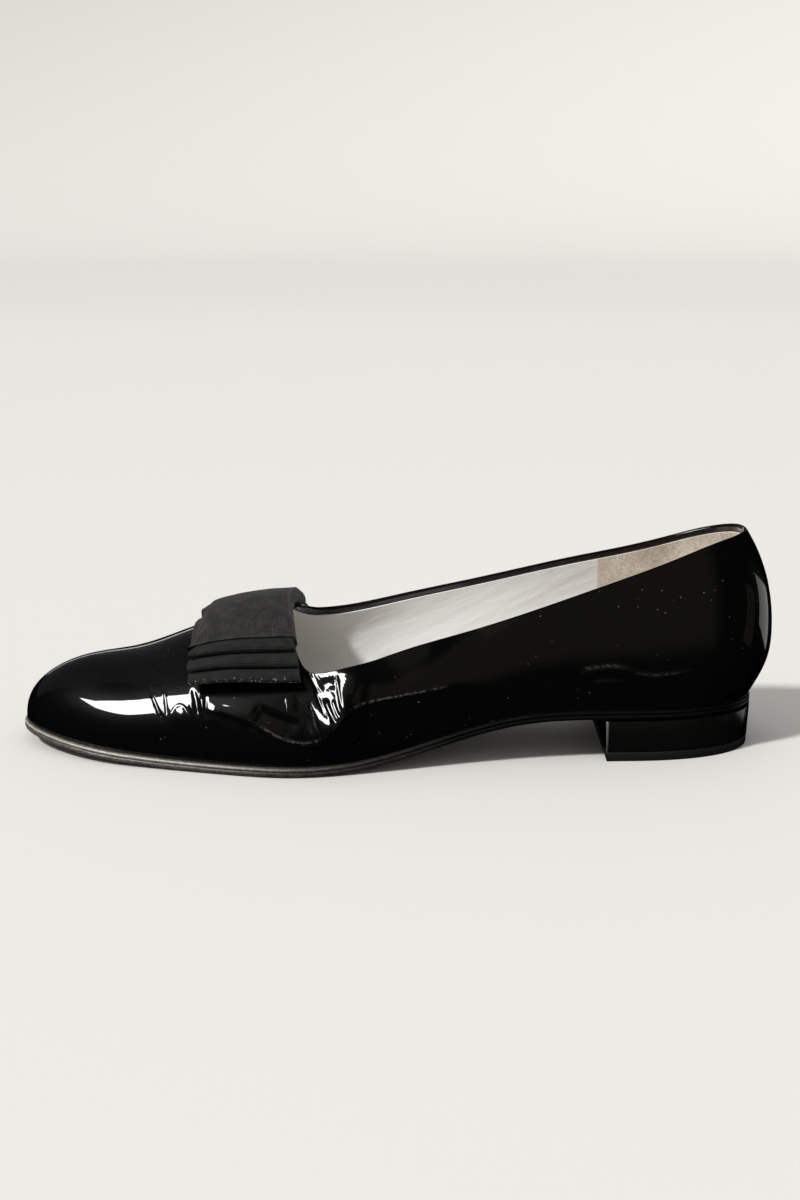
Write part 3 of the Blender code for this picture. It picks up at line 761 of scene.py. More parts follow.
def build_inner_layer(name, runs, rows, thickness, finish):
    """A closed layer inside the upper, from the sole up to the turned edge, following the wider creases."""
    skin = Skin(places_along(runs), rows, below=TURN_IN)
    lift = crease_height(skin.points, SHOWS_THROUGH)
    outside = lift - WALL - LINING_GAP
    outer = skin.points + skin.normals * outside[:, None]
    inner = skin.points + skin.normals * (outside - thickness)[:, None]
    count = len(outer)
    faces = [skin.quads, count + skin.quads[:, ::-1]]
    for loop in border_loops(skin.quads):
        faces.append(ring_quads(np.stack([loop, count + loop])))
    return add_piece(name, np.concatenate([outer, inner]), np.concatenate(faces), finish)


def build_lining(finish):
    """The leather lining of the vamp and quarters."""
    return build_inner_layer("quarter_lining", LINING_RUNS, LINING_ROWS, LINING_THICKNESS, finish)


def build_heel_grip(finish):
    """The suede heel grip behind the back ends of the lining."""
    return build_inner_layer("heel_grip", GRIP_RUNS, GRIP_ROWS, GRIP_THICKNESS, finish)


def plan_ring(places, edge, pointed=True):
    """A closed outline, back along the lateral edge and home along the medial one, to a point or a flat end."""
    lateral = np.stack([places, -edge(places, LATERAL)], axis=-1)
    medial = np.stack([places, edge(places, MEDIAL)], axis=-1)
    return np.concatenate([lateral, medial[-2:0:-1] if pointed else medial[-2::-1]])


def inset_ring(ring, inset):
    """The same outline moved inwards by a distance."""
    along = np.roll(ring, -1, axis=0) - np.roll(ring, 1, axis=0)
    along /= np.linalg.norm(along, axis=1, keepdims=True)
    return ring + inset * np.stack([-along[:, 1], along[:, 0]], axis=-1)


def ring_stack(rings, pointed=True):
    """Points and faces of a solid of stacked plan rings, closed below and above by strips across."""
    levels, count = rings.shape[:2]
    index = np.arange(levels * count).reshape(levels, count)
    half = np.arange(count // 2)
    home = count - half - (0 if pointed else 1)
    strip = np.stack([half, half + 1, (home - 1) % count, home % count], axis=-1)
    faces = np.concatenate([ring_quads(index)[:, ::-1], strip[:, ::-1], index[-1][strip]])
    return rings.reshape(-1, 3), faces


def sole_places(tip, back):
    """Places along a sole-shaped piece, closest together round the toe and the heel."""
    runs = ((tip, TOE_END, 46, "start"), (TOE_END, SEAT_START, 110), (SEAT_START, back, 40, "end"))
    return places_along(runs)


def build_outsole(finish):
    """The leather sole with the rounded edge, groove and rib of its side."""
    ring = plan_ring(sole_places(SOLE_TIP, SOLE_BACK), sole_edge)
    last_step = len(SOLE_EDGE) - 1
    rings = []
    rubbed = []
    for step in np.linspace(0.0, last_step, EDGE_RINGS * last_step + 1):
        level = inset_ring(ring, float(EDGE["inset"](step)))
        height = np.maximum(float(EDGE["height"](step)), 0.0)
        rings.append(np.column_stack([level, sole_bottom(level[:, 0]) + height]))
        # Painted highlight on the top rib, full at the forefoot and fading towards the heel
        on_rib = np.exp(-(((step - HIGHLIGHT_RIB_STEP) / HIGHLIGHT_RIB_STEPS) ** 2))
        rubbed.append(on_rib * (1.0 - smooth_rise(level[:, 0], HIGHLIGHT_RIB_FULL, HIGHLIGHT_RIB_END)))
    points, faces = ring_stack(np.stack(rings))
    wear = {"rubbed": np.concatenate(rubbed)}
    return add_piece("leather_sole", points, faces, finish, ["outsole"], wear)


def heel_layer(bottom, top, bevel):
    """Points and faces of one layer of the heel between two heights, with a flat breast and eased edges."""
    plan = plan_ring(spaced(HEEL_BREAST, SOLE_BACK, HEEL_STEPS, "end"), sole_edge, pointed=False)
    middle = np.array([(HEEL_BREAST + SOLE_BACK) / 2, 0.0])
    reach = float(SOLE["lateral"](HEEL_BREAST))
    ease = bevel * BEVEL_EASE
    rings = []
    for height, inset in (
        (bottom, bevel),
        (bottom + ease, ease),
        (bottom + bevel, 0.0),
        (top - bevel, 0.0),
        (top - ease, ease),
        (top, bevel),
    ):
        share = 1.0 - HEEL_TAPER / reach * (1.0 - height / ARCH_HEIGHT) - inset / reach
        level = middle + (plan - middle) * share
        rings.append(np.column_stack([level, np.full(len(level), height)]))
    return ring_stack(np.stack(rings), pointed=False)


def build_heel(finish):
    """The lacquered heel block."""
    points, faces = heel_layer(TOP_LIFT, ARCH_HEIGHT - GAP, HEEL_BEVEL)
    return add_piece("heel_lacquered", points, faces, finish, ["heel_block"])


def build_top_lift(finish):
    """The rubber top lift under the heel."""
    points, faces = heel_layer(0.0, TOP_LIFT - GAP, LIFT_BEVEL)
    return add_piece("heel_lift", points, faces, finish, ["top_lift"])


def insole_edge(from_toe, side):
    """Half width of the insole, just inside the lining."""
    tip = UPPER_TIP + INSOLE_INSET
    toe = round_end(from_toe - tip, TOE_ROUND, TOE_FULLNESS)
    heel = round_end(SOLE_BACK - INSOLE_INSET - from_toe, HEEL_ROUND, HEEL_FULLNESS)
    return (SOLE[SIDE_NAME[side]](from_toe) - SOLE["lip"](from_toe) - INSOLE_INSET) * toe * heel


def build_sock(finish):
    """The insole with its leather sock, pressed a little hollow by the foot."""
    places = sole_places(UPPER_TIP + INSOLE_INSET, SOLE_BACK - INSOLE_INSET)
    across = np.linspace(-1.0, 1.0, SOCK_STRIPS + 1)[None, :]
    reach = np.where(across < 0, insole_edge(places, LATERAL)[:, None], insole_edge(places, MEDIAL)[:, None])
    x = np.broadcast_to(places[:, None], reach.shape)
    y = across * reach
    base = sole_bottom(x) + SOLE_THICKNESS + GAP
    top = base + INSOLE_THICKNESS - SOCK_EDGE_DROP * np.abs(across) ** SOCK_EDGE_POWER
    for depth, at, half_length, inward, half_width in SOCK_HOLLOWS:
        top = top - depth * np.exp(-(((x - at) / half_length) ** 2) - ((y - inward) / half_width) ** 2)
    points, index = weld([np.stack([x, y, top], axis=-1), np.stack([x, y, base], axis=-1)])
    faces = [quads_of(index[0]), quads_of(index[1])[:, ::-1]]
    for edge_line in (0, -1):
        band = np.stack([index[0][:, edge_line], index[1][:, edge_line]])
        faces.append(quads_of(band) if edge_line else quads_of(band)[:, ::-1])
    return add_piece("insole_sock", points, np.concatenate(faces), finish, ["insole"])


class Vamp:
    """The top of the vamp as the bow sees it: across by distance from the middle, along, and out."""

    PLACES = np.arange(40.0, 126.0, 1.0)
    ACROSS_STEP = 0.5
    ACROSS = np.arange(-50.0, 50.0 + ACROSS_STEP, ACROSS_STEP)
    STEP = 1.5
    LAST_CELL = 1.001
    SAMPLES = 200

    def __init__(self):
        half = np.linspace(0.0, 1.0, self.SAMPLES)
        rows = []
        for place in self.PLACES:
            outer = last_point(place, half, LATERAL)
            points = np.concatenate([outer, last_point(place, half[::-1], MEDIAL)[1:]])
            distance = np.concatenate([[0.0], np.cumsum(np.linalg.norm(np.diff(points, axis=0), axis=1))])
            distance -= np.interp(0.0, points[:, 1], distance)
            rows.append(np.stack([np.interp(self.ACROSS, distance, points[:, k]) for k in range(3)], axis=-1))
        self.table = np.stack(rows)

    def at(self, from_toe, across):
        """Points of the vamp at places and distances from the middle."""
        i = np.clip(from_toe - self.PLACES[0], 0.0, len(self.PLACES) - self.LAST_CELL)
        j = np.clip((across - self.ACROSS[0]) / self.ACROSS_STEP, 0.0, len(self.ACROSS) - self.LAST_CELL)
        a, b = i.astype(int), j.astype(int)
        u, v = (i - a)[..., None], (j - b)[..., None]
        near = self.table[a, b] * (1 - v) + self.table[a, b + 1] * v
        far = self.table[a + 1, b] * (1 - v) + self.table[a + 1, b + 1] * v
        return near * (1 - u) + far * u

    def place(self, along, across, height):
        """Points at heights over the vamp, measured along the outward normal."""
        outer = across < 0
        stand_off = np.where(outer, LOOP_STAND_OFF[LATERAL], LOOP_STAND_OFF[MEDIAL])
        toe_lift = np.where(outer, BOW_TOE_LIFT[LATERAL], BOW_TOE_LIFT[MEDIAL])
        across = across * (1.0 + BOW_FAN * along)
        swept = BOW_SWEEP * (np.hypot(across, BOW_SWEEP_EASE) - BOW_SWEEP_EASE)
        from_toe = BOW_CENTRE + along * (1.0 + BOW_SPLAY * np.abs(across)) + swept
        forward = smooth_rise(-along, -RIBBON_WIDTH / 2, RIBBON_WIDTH / 2)
        height = height + (across / BOW_LOOPS[0][1]) ** 2 * (stand_off + toe_lift * forward)
        sideways = self.at(from_toe, across + self.STEP) - self.at(from_toe, across - self.STEP)
        lengthways = self.at(from_toe + self.STEP, across) - self.at(from_toe - self.STEP, across)
        out = np.cross(lengthways, sideways)
        out /= np.linalg.norm(out, axis=-1, keepdims=True)
        return self.at(from_toe, across) + height[..., None] * out


def loop_depth(across, along, half_length):
    """Outer thickness of one loop: pressed flat under the band, puffed towards its fold."""
    flat = 2 * RIBBON_THICKNESS + LOOP_HOLLOW
    crown = LOOP_CROWN * (1.0 - (2 * along / RIBBON_WIDTH) ** 2)
    puff = smooth_rise(np.abs(across), half_length - LOOP_PUFF_LENGTH, half_length - LOOP_FOLD / 2)
    return (flat + crown) * (1.0 - puff) + LOOP_FOLD * puff


def loop_floor(index, across, along):
    """Height of the underside of a loop over the vamp: it rests on the band or on the loops below."""
    floor = np.full(np.shape(along), BOW_BASE_GAP + RIBBON_THICKNESS + GAP)
    for name, half_length, pinch in BOW_LOOPS[:index]:
        floor = floor + loop_depth(across, along, half_length) + GAP
    return floor


def loop_front(index, across):
    """Where a loop's front edge lies: drawn back under the band, full width at the folds."""
    drawn = 1.0 - smooth_rise(np.abs(across), PINCH_START, PINCH_END)
    return BOW_LOOPS[index][2] * drawn - RIBBON_WIDTH / 2


def loop_line(index, share, inset):
    """One line round a loop, at a share of its width: along, across and height of its points."""
    half_length = BOW_LOOPS[index][1]
    reach = half_length - LOOP_FOLD / 2
    turn = spaced(0.0, np.pi, FOLD_STEPS)[1:-1]
    fold = LOOP_FOLD / 2 - inset
    over = spaced(-reach, reach, LOOP_TOP_POINTS)
    under = spaced(reach, -reach, LOOP_UNDER_POINTS)
    across = np.concatenate([over, reach + fold * np.sin(turn), under, -reach - fold * np.sin(turn)])
    held = np.clip(across, -reach, reach)
    front = loop_front(index, held)
    along = front + share * (RIBBON_WIDTH / 2 - front)
    floor = loop_floor(index, held, along)
    height = np.concatenate([
        (floor + loop_depth(held, along, half_length) - inset)[: len(over)],
        floor[len(over) : len(over) + len(turn)] + LOOP_FOLD / 2 + fold * np.cos(turn),
        floor[len(over) + len(turn) : -len(turn)] + inset,
        floor[-len(turn) :] + LOOP_FOLD / 2 - fold * np.cos(turn),
    ])
    return along, across, height


def band_line(across, inset):
    """The band's outline lengthways: over the loops, down and back under them."""
    reach = RIBBON_WIDTH / 2 + GAP + RIBBON_THICKNESS - inset
    bevel = GAP + RIBBON_THICKNESS - inset
    floor = BOW_BASE_GAP + inset
    covered = loop_front(len(BOW_LOOPS) - 1, abs(across) + BAND_EASE)
    full_from = max(covered - 4 * GAP, 2 * GAP - reach)
    over = spaced(bevel - reach, reach - bevel, BAND_TOP_POINTS)
    full = loop_floor(len(BOW_LOOPS), across, over) + RIBBON_THICKNESS
    top = BAND_FRONT_HEIGHT + (full - BAND_FRONT_HEIGHT) * smooth_rise(over, -reach, full_from) - inset
    down = spaced(0.0, 1.0, BAND_SIDE_STEPS)[1:-1]
    under = spaced(reach - bevel, bevel - reach, BAND_UNDER_POINTS)
    swell = bevel * np.sin(down * np.pi) ** 0.5
    along = np.concatenate([over, reach - bevel + swell, under, bevel - reach - swell])
    height = np.concatenate([
        top,
        top[-1] + (floor - top[-1]) * down,
        np.full(len(under), floor),
        floor + (top[0] - floor) * down,
    ])
    return along, np.full(len(along), across), height


def rib_profile(distance, margin):
    """Height of the ribbon's cross ribs along its length, dying out at its selvedges."""
    return RIB_HEIGHT * np.cos(2 * np.pi * distance / RIB_PITCH) * smooth_rise(margin, 0.0, SELVEDGE)


def ribbed(line, ribs):
    """Moves a closed line of points out by the ribs, square to the line and away from its middle."""
    run = np.roll(line, -1, axis=0) - np.roll(line, 1, axis=0)
    away = line - line.mean(axis=0)
    run /= np.linalg.norm(run, axis=1, keepdims=True)
    plane = np.linalg.svd(away - away.mean(axis=0), full_matrices=False)[2][2]
    out = np.cross(run, plane)
    turned = np.sign((out * away).sum())
    out /= np.linalg.norm(out, axis=1, keepdims=True)
    return line + turned * out * ribs[:, None]


def build_ribbon(name, lines, widths, breadth, top_points, painted_band_light, finish, vamp):
    """A closed loop of ribbed ribbon, as broad as breadth.

    Lines gives a line round it, top first, for one of its widths and an inset.
    """
    outer_lines = [lines(width, 0.0) for width in widths]
    inner_lines = [lines(width, RIBBON_THICKNESS) for width in widths]
    middle = vamp.place(*outer_lines[len(widths) // 2])
    steps = np.linalg.norm(np.diff(middle, axis=0), axis=1)
    distance = np.concatenate([[0.0], np.cumsum(steps)])
    margins = breadth * (0.5 - np.abs(np.linspace(-0.5, 0.5, len(widths))))
    skins = []
    for (along, across, height), margin in zip(outer_lines, margins):
        wander = RIB_WANDER * noise.noise(Vector((margin / RIB_WANDER_LENGTH, 0.0, RIB_WANDER_SEED)))
        line = vamp.place(along, across, height)
        ribs = rib_profile(distance + wander, margin)
        top = line[:top_points] / RIBBON_WAVE_LENGTH
        ribs[:top_points] += [RIBBON_WAVE * noise.noise(Vector(at)) for at in top]
        skins.append(ribbed(line, ribs))
    skins += [vamp.place(*line) for line in inner_lines[::-1]]
    points = np.stack(skins)
    rows, count = points.shape[:2]
    index = np.arange(rows * count).reshape(rows, count)
    faces = ring_quads(np.concatenate([index, index[:1]]))[:, ::-1]
    linted = np.zeros((rows, count))
    linted[: len(widths)] = [smooth_rise(-line[1], LINT_FROM, LINT_FULL) for line in outer_lines]
    # Painted light and shade: the piece's share of painted light, the same at every point
    wear = {"painted_band_light": np.full(rows * count, painted_band_light), "linted": linted.ravel()}
    piece = add_piece(name + "_ribbon", points.reshape(-1, 3), faces, finish, [name], wear)
    return piece


def build_bow(finish):
    """The three loops and the band that holds them."""
    vamp = Vamp()
    shares = spaced(0.0, 1.0, LOOP_STRIPS)
    for number, (name, half_length, pinch) in enumerate(BOW_LOOPS):
        lines = partial(loop_line, number)
        # 0.0: no painted light, so the loops are painted darker, as if in shade
        build_ribbon(name, lines, shares, RIBBON_WIDTH, LOOP_TOP_POINTS, 0.0, finish, vamp)
    across = spaced(-BAND_HALF, BAND_HALF, BAND_STRIPS)
    # 1.0: the band is painted lighter, as painted light
    build_ribbon("bow_band", band_line, across, 2 * BAND_HALF, BAND_TOP_POINTS, 1.0, finish, vamp)


def linear(hex_colour):
    """An sRGB hex colour as linear red, green, blue and alpha."""
    parts = np.array([int(hex_colour[i : i + 2], 16) for i in (1, 3, 5)]) / 255.0
    return (*np.where(parts <= 0.04045, parts / 12.92, ((parts + 0.055) / 1.055) ** 2.4), 1.0)


def per_metre(size):
    """A pattern's scale from the size of one repeat in millimetres."""
    return 1 / (size * MM)


def set_inputs(tree, node, inputs):
    """Sets a node's sockets to values, or links them to an output or to the first output in use of a node."""
    for socket, value in inputs.items():
        if isinstance(value, bpy.types.Node):
            value = next(output for output in value.outputs if output.enabled)
        if isinstance(value, bpy.types.NodeSocket):
            tree.links.new(value, node.inputs[socket])
        else:
            node.inputs[socket].default_value = value


def add_node(tree, kind, inputs=None, **settings):
    """Adds one node with its own settings and its inputs by socket."""
    made = tree.nodes.new("ShaderNode" + kind)
    for name, value in settings.items():
        setattr(made, name, value)
    set_inputs(tree, made, inputs or {})
    return made


def new_material(name):
    """A node material, the way to add nodes to it, and the place on the shoe in metres."""
    material = bpy.data.materials.new(name)
    material.use_nodes = True
    add = partial(add_node, material.node_tree)
    return material, add, add("TexCoord").outputs["Object"]


def dress(material, inputs):
    """Gives a material's Principled shader its colour, its bump and the values that are the same all over."""
    set_inputs(material.node_tree, material.node_tree.nodes["Principled BSDF"], inputs)
    return material


def patent_leather():
    """Black patent leather: dyed hide under a poured clear polyurethane film.

    The film alone mirrors, sharply and with a slight ripple, over a deep black. Dust lies on it as pale
    specks, and it turns pale where it cracks along the back seam. Pale lines on sharp crests are painted
    highlight.
    """
    material, add, place = new_material("patent_leather_film")
    ripple = add("TexNoise", {"Vector": place, "Scale": per_metre(9.0), "Detail": 1.0})
    bump = add("Bump", {"Height": ripple, "Strength": 0.25, "Distance": 0.1 * MM})
    # Dust: a speck in one cell of seven, each of its own size
    cell = add("TexVoronoi", {"Vector": place, "Scale": per_metre(1.3)})
    chosen = add("SeparateColor", {"Color": cell.outputs["Color"]})
    rare = add("Math", {0: chosen.outputs["Red"], 1: 0.86}, operation="GREATER_THAN")
    grain = add("Math", {0: chosen.outputs["Green"], 1: 0.14}, operation="MULTIPLY")
    small = add("Math", {0: cell, 1: grain}, operation="LESS_THAN")
    dust = add("Math", {0: rare, 1: small}, operation="MULTIPLY")
    dusty = add(
        "Mix",
        {"Factor": dust, FIRST: linear("#050505"), SECOND: linear("#6f6a62")},
        data_type="RGBA",
    )
    # Cracks: on the middle line at the top of the back
    parts = add("SeparateXYZ", {"Vector": place})
    beside = add("Math", {0: parts.outputs["Y"], 1: float(ZERO[1])}, operation="SUBTRACT")
    off_seam = add("Math", {0: beside}, operation="ABSOLUTE")
    on_seam = add("MapRange", {"Value": off_seam, "From Min": 0.45 * MM, "From Max": 0.15 * MM})
    high = add("MapRange", {"Value": parts.outputs["Z"], "From Min": 56.0 * MM, "From Max": 62.0 * MM})
    back = add("Math", {0: parts.outputs["X"], 1: 110.0 * MM}, operation="GREATER_THAN")
    crumble = add("TexNoise", {"Vector": place, "Scale": per_metre(1.2), "Detail": 2.0})
    broken = add("MapRange", {"Value": crumble, "From Min": 0.4, "From Max": 0.6})
    seam = add("Math", {0: on_seam, 1: high}, operation="MULTIPLY")
    at_back = add("Math", {0: seam, 1: back}, operation="MULTIPLY")
    cracked = add("Math", {0: at_back, 1: broken}, operation="MULTIPLY")
    # Painted highlight: pale lines along the sharp crests, broken up like the cracks
    crest = add("Attribute", attribute_name="crest_highlight_paint").outputs["Fac"]
    broken_crest_highlight = add("Math", {0: crest, 1: broken}, operation="MULTIPLY")
    # Real cracks at the seam and the painted crest highlight, in the same pale colour
    marks = add("Math", {0: cracked, 1: broken_crest_highlight}, operation="MAXIMUM")
    colour = add("Mix", {"Factor": marks, FIRST: dusty, SECOND: linear("#65615a")}, data_type="RGBA")
    return dress(material, {
        "Base Color": colour,
        "Roughness": 0.35,
        "Specular IOR Level": 0.05,
        "Coat Normal": bump,
        "Coat Weight": 1.0,
        "Coat Roughness": 0.015,
        "Coat IOR": 1.5,
    })


def smooth_leather(name, light, shade, smudge, roughness):
    """Smooth glazed leather, pigment-finished sheepskin: a soft gloss over fine pores and a faint mottle.

    Lines show where it was drawn over the last, and smudges where it was handled.
    """
    material, add, place = new_material(name)
    mottle = add("TexNoise", {"Vector": place, "Scale": per_metre(16.0), "Detail": 4.0})
    patch = add("TexNoise", {"Vector": place, "Scale": per_metre(30.0), "Detail": 5.0, "Roughness": 0.6})
    marks = add("MapRange", {"Value": patch, "From Min": 0.55, "From Max": 0.78, "To Max": 0.6})
    clean = add("Mix", {"Factor": mottle, FIRST: linear(shade), SECOND: linear(light)}, data_type="RGBA")
    colour = add("Mix", {"Factor": marks, FIRST: clean, SECOND: linear(smudge)}, data_type="RGBA")
    slant = (0.0, np.radians(62.0), 0.0)
    drawn_out = (1.0, 1.0, 7.0)
    slanted = add("Mapping", {"Vector": place, "Rotation": slant, "Scale": drawn_out}, vector_type="TEXTURE")
    pull = add("TexNoise", {"Vector": slanted, "Scale": per_metre(6.0), "Detail": 3.0})
    drawn = add("Bump", {"Height": pull, "Strength": 0.5, "Distance": 1.2 * MM})
    pores = add("TexVoronoi", {"Vector": place, "Scale": per_metre(0.8)})
    bump = add("Bump", {"Height": pores, "Strength": 0.25, "Distance": 0.08 * MM, "Normal": drawn})
    return dress(material, {"Base Color": colour, "Normal": bump, "Roughness": roughness})


def grip_suede():
    """Suede, the buffed flesh side of a hide: a short nap that scatters light, rubbed darker in places."""
    material, add, place = new_material("heel_grip_suede")
    nap = add("TexNoise", {"Vector": place, "Scale": per_metre(0.9), "Detail": 4.0, "Roughness": 0.7})
    rubbed = add("TexNoise", {"Vector": place, "Scale": per_metre(12.0), "Detail": 4.0})
    both = add("Math", {0: nap, 1: rubbed}, operation="MULTIPLY")
    tone = add("MapRange", {"Value": both, "From Min": 0.12, "From Max": 0.4})
    colour = add(
        "Mix",
        {"Factor": tone, FIRST: linear("#aa9e8f"), SECOND: linear("#e6dccf")},
        data_type="RGBA",
    )
    bump = add("Bump", {"Height": nap, "Strength": 0.7, "Distance": 0.3 * MM})
    return dress(material, {
        "Base Color": colour,
        "Normal": bump,
        "Roughness": 0.95,
        "Specular IOR Level": 0.1,
        "Sheen Weight": 0.2,
    })


def sole_leather():
    """Vegetable-tanned sole leather, its edge inked and burnished: satin black, greyer towards the toe.

    Its top rib is painted pale round the forefoot, a painted highlight.
    """
    material, add, place = new_material("inked_sole_leather")
    parts = add("SeparateXYZ", {"Vector": place})
    # The ink turns lighter grey towards the toe, patchy along the fibre
    forefoot = add("MapRange", {"Value": parts.outputs["X"], "From Min": 20.0 * MM, "From Max": -90.0 * MM})
    fibre = add("TexNoise", {"Vector": place, "Scale": per_metre(1.1), "Detail": 5.0, "Roughness": 0.7})
    rub = add("MapRange", {"Value": fibre, "From Min": 0.3, "From Max": 0.7})
    paled_share = add("Math", {0: forefoot, 1: rub}, operation="MULTIPLY")
    ink = add("Mix", {"Factor": paled_share, FIRST: linear("#080808"), SECOND: linear("#686460")}, data_type="RGBA")
    # Painted highlight: the top rib is painted pale, patchy along the fibre
    rubbed = add("Attribute", attribute_name="rubbed").outputs["Fac"]
    patchy = add("MapRange", {"Value": fibre, "From Min": 0.3, "From Max": 0.6, "To Min": 0.5})
    painted_rib_highlight = add("Math", {0: rubbed, 1: patchy}, operation="MULTIPLY")
    colour = add("Mix", {"Factor": painted_rib_highlight, FIRST: ink, SECOND: linear("#a39d92")}, data_type="RGBA")
    bump = add("Bump", {"Height": fibre, "Strength": 0.5, "Distance": 0.15 * MM})
    return dress(material, {"Base Color": colour, "Normal": bump, "Roughness": 0.32})


def heel_lacquer():
    """Stacked heel leather under black lacquer: smooth and glossy, with faint drag lines of the cutter.

    The outer corner of the breast is painted pale, a painted highlight along the edge.
    """
    material, add, place = new_material("black_heel_lacquer")
    stretched = add("Mapping", {"Vector": place, "Scale": (1.0, 1.0, 0.12)})
    drag = add("TexNoise", {"Vector": stretched, "Scale": per_metre(1.2), "Detail": 3.0})
    cloud = add("TexNoise", {"Vector": place, "Scale": per_metre(10.0), "Detail": 3.0})
    lacquer = add(
        "Mix",
        {"Factor": cloud, FIRST: linear("#050505"), SECOND: linear("#0e0e0d")},
        data_type="RGBA",
    )
    # Painted highlight: a pale line up the outer corner of the breast, patchy with the cloud
    upright = add("VectorMath", {0: place, 1: (1.0, 1.0, 0.0)}, operation="MULTIPLY")
    corner = to_frame((HEEL_BREAST, -sole_edge(HEEL_BREAST, LATERAL), 0.0))
    off_corner = add("VectorMath", {0: upright, 1: corner}, operation="DISTANCE")
    painted_edge_highlight = add("MapRange", {"Value": off_corner, "From Min": 1.1 * MM, "From Max": 0.4 * MM})
    paled_share = add("Math", {0: painted_edge_highlight, 1: cloud}, operation="MULTIPLY")
    colour = add("Mix", {"Factor": paled_share, FIRST: lacquer, SECOND: linear("#8a857d")}, data_type="RGBA")
    bump = add("Bump", {"Height": drag, "Strength": 0.2, "Distance": 0.08 * MM})
    return dress(material, {
        "Base Color": colour,
        "Normal": bump,
        "Roughness": 0.22,
        "Specular IOR Level": 0.35,
    })


def lift_rubber():
    """Black moulded lift rubber: matt, with a fine grit."""
    material, add, place = new_material("black_lift_rubber")
    grit = add("TexNoise", {"Vector": place, "Scale": per_metre(0.6), "Detail": 2.0})
    colour = add(
        "Mix",
        {"Factor": grit, FIRST: linear("#0a0a0a"), SECOND: linear("#1a1a19")},
        data_type="RGBA",
    )
    bump = add("Bump", {"Height": grit, "Strength": 0.4, "Distance": 0.1 * MM})
    return dress(material, {"Base Color": colour, "Normal": bump, "Roughness": 0.65})


def grosgrain():
    """Grosgrain ribbon: fine rayon warp over thick cross cords, which gives matt ribs with a faint sheen.

    Painted light and shade: the band on top is lighter, the loops darker. Lint hangs on the lowest edge.
    """
    material, add, place = new_material("grosgrain_ribbon")
    thread = add("TexNoise", {"Vector": place, "Scale": per_metre(0.4), "Detail": 2.0})
    handling = add("TexNoise", {"Vector": place, "Scale": per_metre(3.5), "Detail": 4.0, "Roughness": 0.65})
    both = add("Math", {0: thread, 1: handling}, operation="MULTIPLY")
    mottle = add("MapRange", {"Value": both, "From Min": 0.13, "From Max": 0.37})
    # Painted shade: this darker mix is for the loops beside the band
    black = add(
        "Mix",
        {"Factor": mottle, FIRST: linear("#070707"), SECOND: linear("#1e1d1c")},
        data_type="RGBA",
    )
    # Painted light: this lighter mix is for the band on top
    pale = add(
        "Mix",
        {"Factor": mottle, FIRST: linear("#0c0c0c"), SECOND: linear("#302e2d")},
        data_type="RGBA",
    )
    # 1 on the band, painted lighter, and 0 on the loops, painted darker
    painted_band_light = add("Attribute", attribute_name="painted_band_light").outputs["Fac"]
    ribbon = add("Mix", {"Factor": painted_band_light, FIRST: black, SECOND: pale}, data_type="RGBA")
    fluff = add("TexVoronoi", {"Vector": place, "Scale": per_metre(0.9)})
    linted = add("Attribute", attribute_name="linted").outputs["Fac"]
    size = add("Math", {0: linted, 1: 0.22}, operation="MULTIPLY")
    speck = add("Math", {0: fluff, 1: size}, operation="LESS_THAN")
    colour = add("Mix", {"Factor": speck, FIRST: ribbon, SECOND: linear("#8d8880")}, data_type="RGBA")
    bump = add("Bump", {"Height": thread, "Strength": 0.4, "Distance": 0.1 * MM})
    return dress(material, {
        "Base Color": colour,
        "Normal": bump,
        "Roughness": 0.75,
        "Specular IOR Level": 0.25,
        "Sheen Weight": 0.12,
        "Sheen Roughness": 0.4,
    })


def build_floor():
    """The pale studio floor, curving up all round. Gloss doesn't mirror it."""
    turn = spaced(0.0, np.pi / 2, FLOOR_STEPS)[1:]
    radii = [0.0, FLOOR_MIDDLE, FLOOR_REACH, *(FLOOR_REACH + FLOOR_CURVE * np.sin(turn))]
    heights = [0.0, 0.0, 0.0, *(FLOOR_CURVE * (1.0 - np.cos(turn)))]
    around = np.linspace(0.0, 2 * np.pi, FLOOR_SIDES, endpoint=False)
    rings = np.stack([
        np.stack([radius * np.cos(around), radius * np.sin(around), np.full(FLOOR_SIDES, height)], axis=-1)
        for radius, height in zip(radii, heights)
    ])
    index = np.arange(len(radii) * FLOOR_SIDES).reshape(len(radii), FLOOR_SIDES)
    index[0] = 0
    material = new_material("painted_studio_floor")[0]
    dress(material, {"Base Color": linear("#c9c7c2"), "Roughness": 0.9})
    mesh = smooth_mesh("studio_floor", rings.reshape(-1, 3), ring_quads(index), material)
    floor = add_object("studio_floor", mesh)
    floor.visible_glossy = False


def shape_glow(data, feather, taper, tip):
    """Fades a soft box towards its edges, and narrows it towards its toe end."""
    data.use_nodes = True
    add = partial(add_node, data.node_tree)
    parts = add("SeparateXYZ", {"Vector": add("NewGeometry").outputs["Parametric"]})
    along, up = parts.outputs["X"], parts.outputs["Y"]
    low = add("MapRange", {"Value": along, "From Max": taper, "To Min": tip, "To Max": 0.0})
    high = add("MapRange", {"Value": along, "From Max": taper, "To Min": tip, "To Max": 1.0})
    above = add("Math", {0: up, 1: low}, operation="SUBTRACT")
    below = add("Math", {0: high, 1: up}, operation="SUBTRACT")
    beside = add("Math", {0: along, 1: 0.5}, operation="PINGPONG")
    inside = add("Math", {0: above, 1: below}, operation="MINIMUM")
    nearest = add("Math", {0: inside, 1: beside}, operation="MINIMUM")
    glow = add("MapRange", {"Value": nearest, "From Max": feather}, interpolation_type="SMOOTHSTEP")
    set_inputs(data.node_tree, data.node_tree.nodes["Emission"], {"Strength": glow})


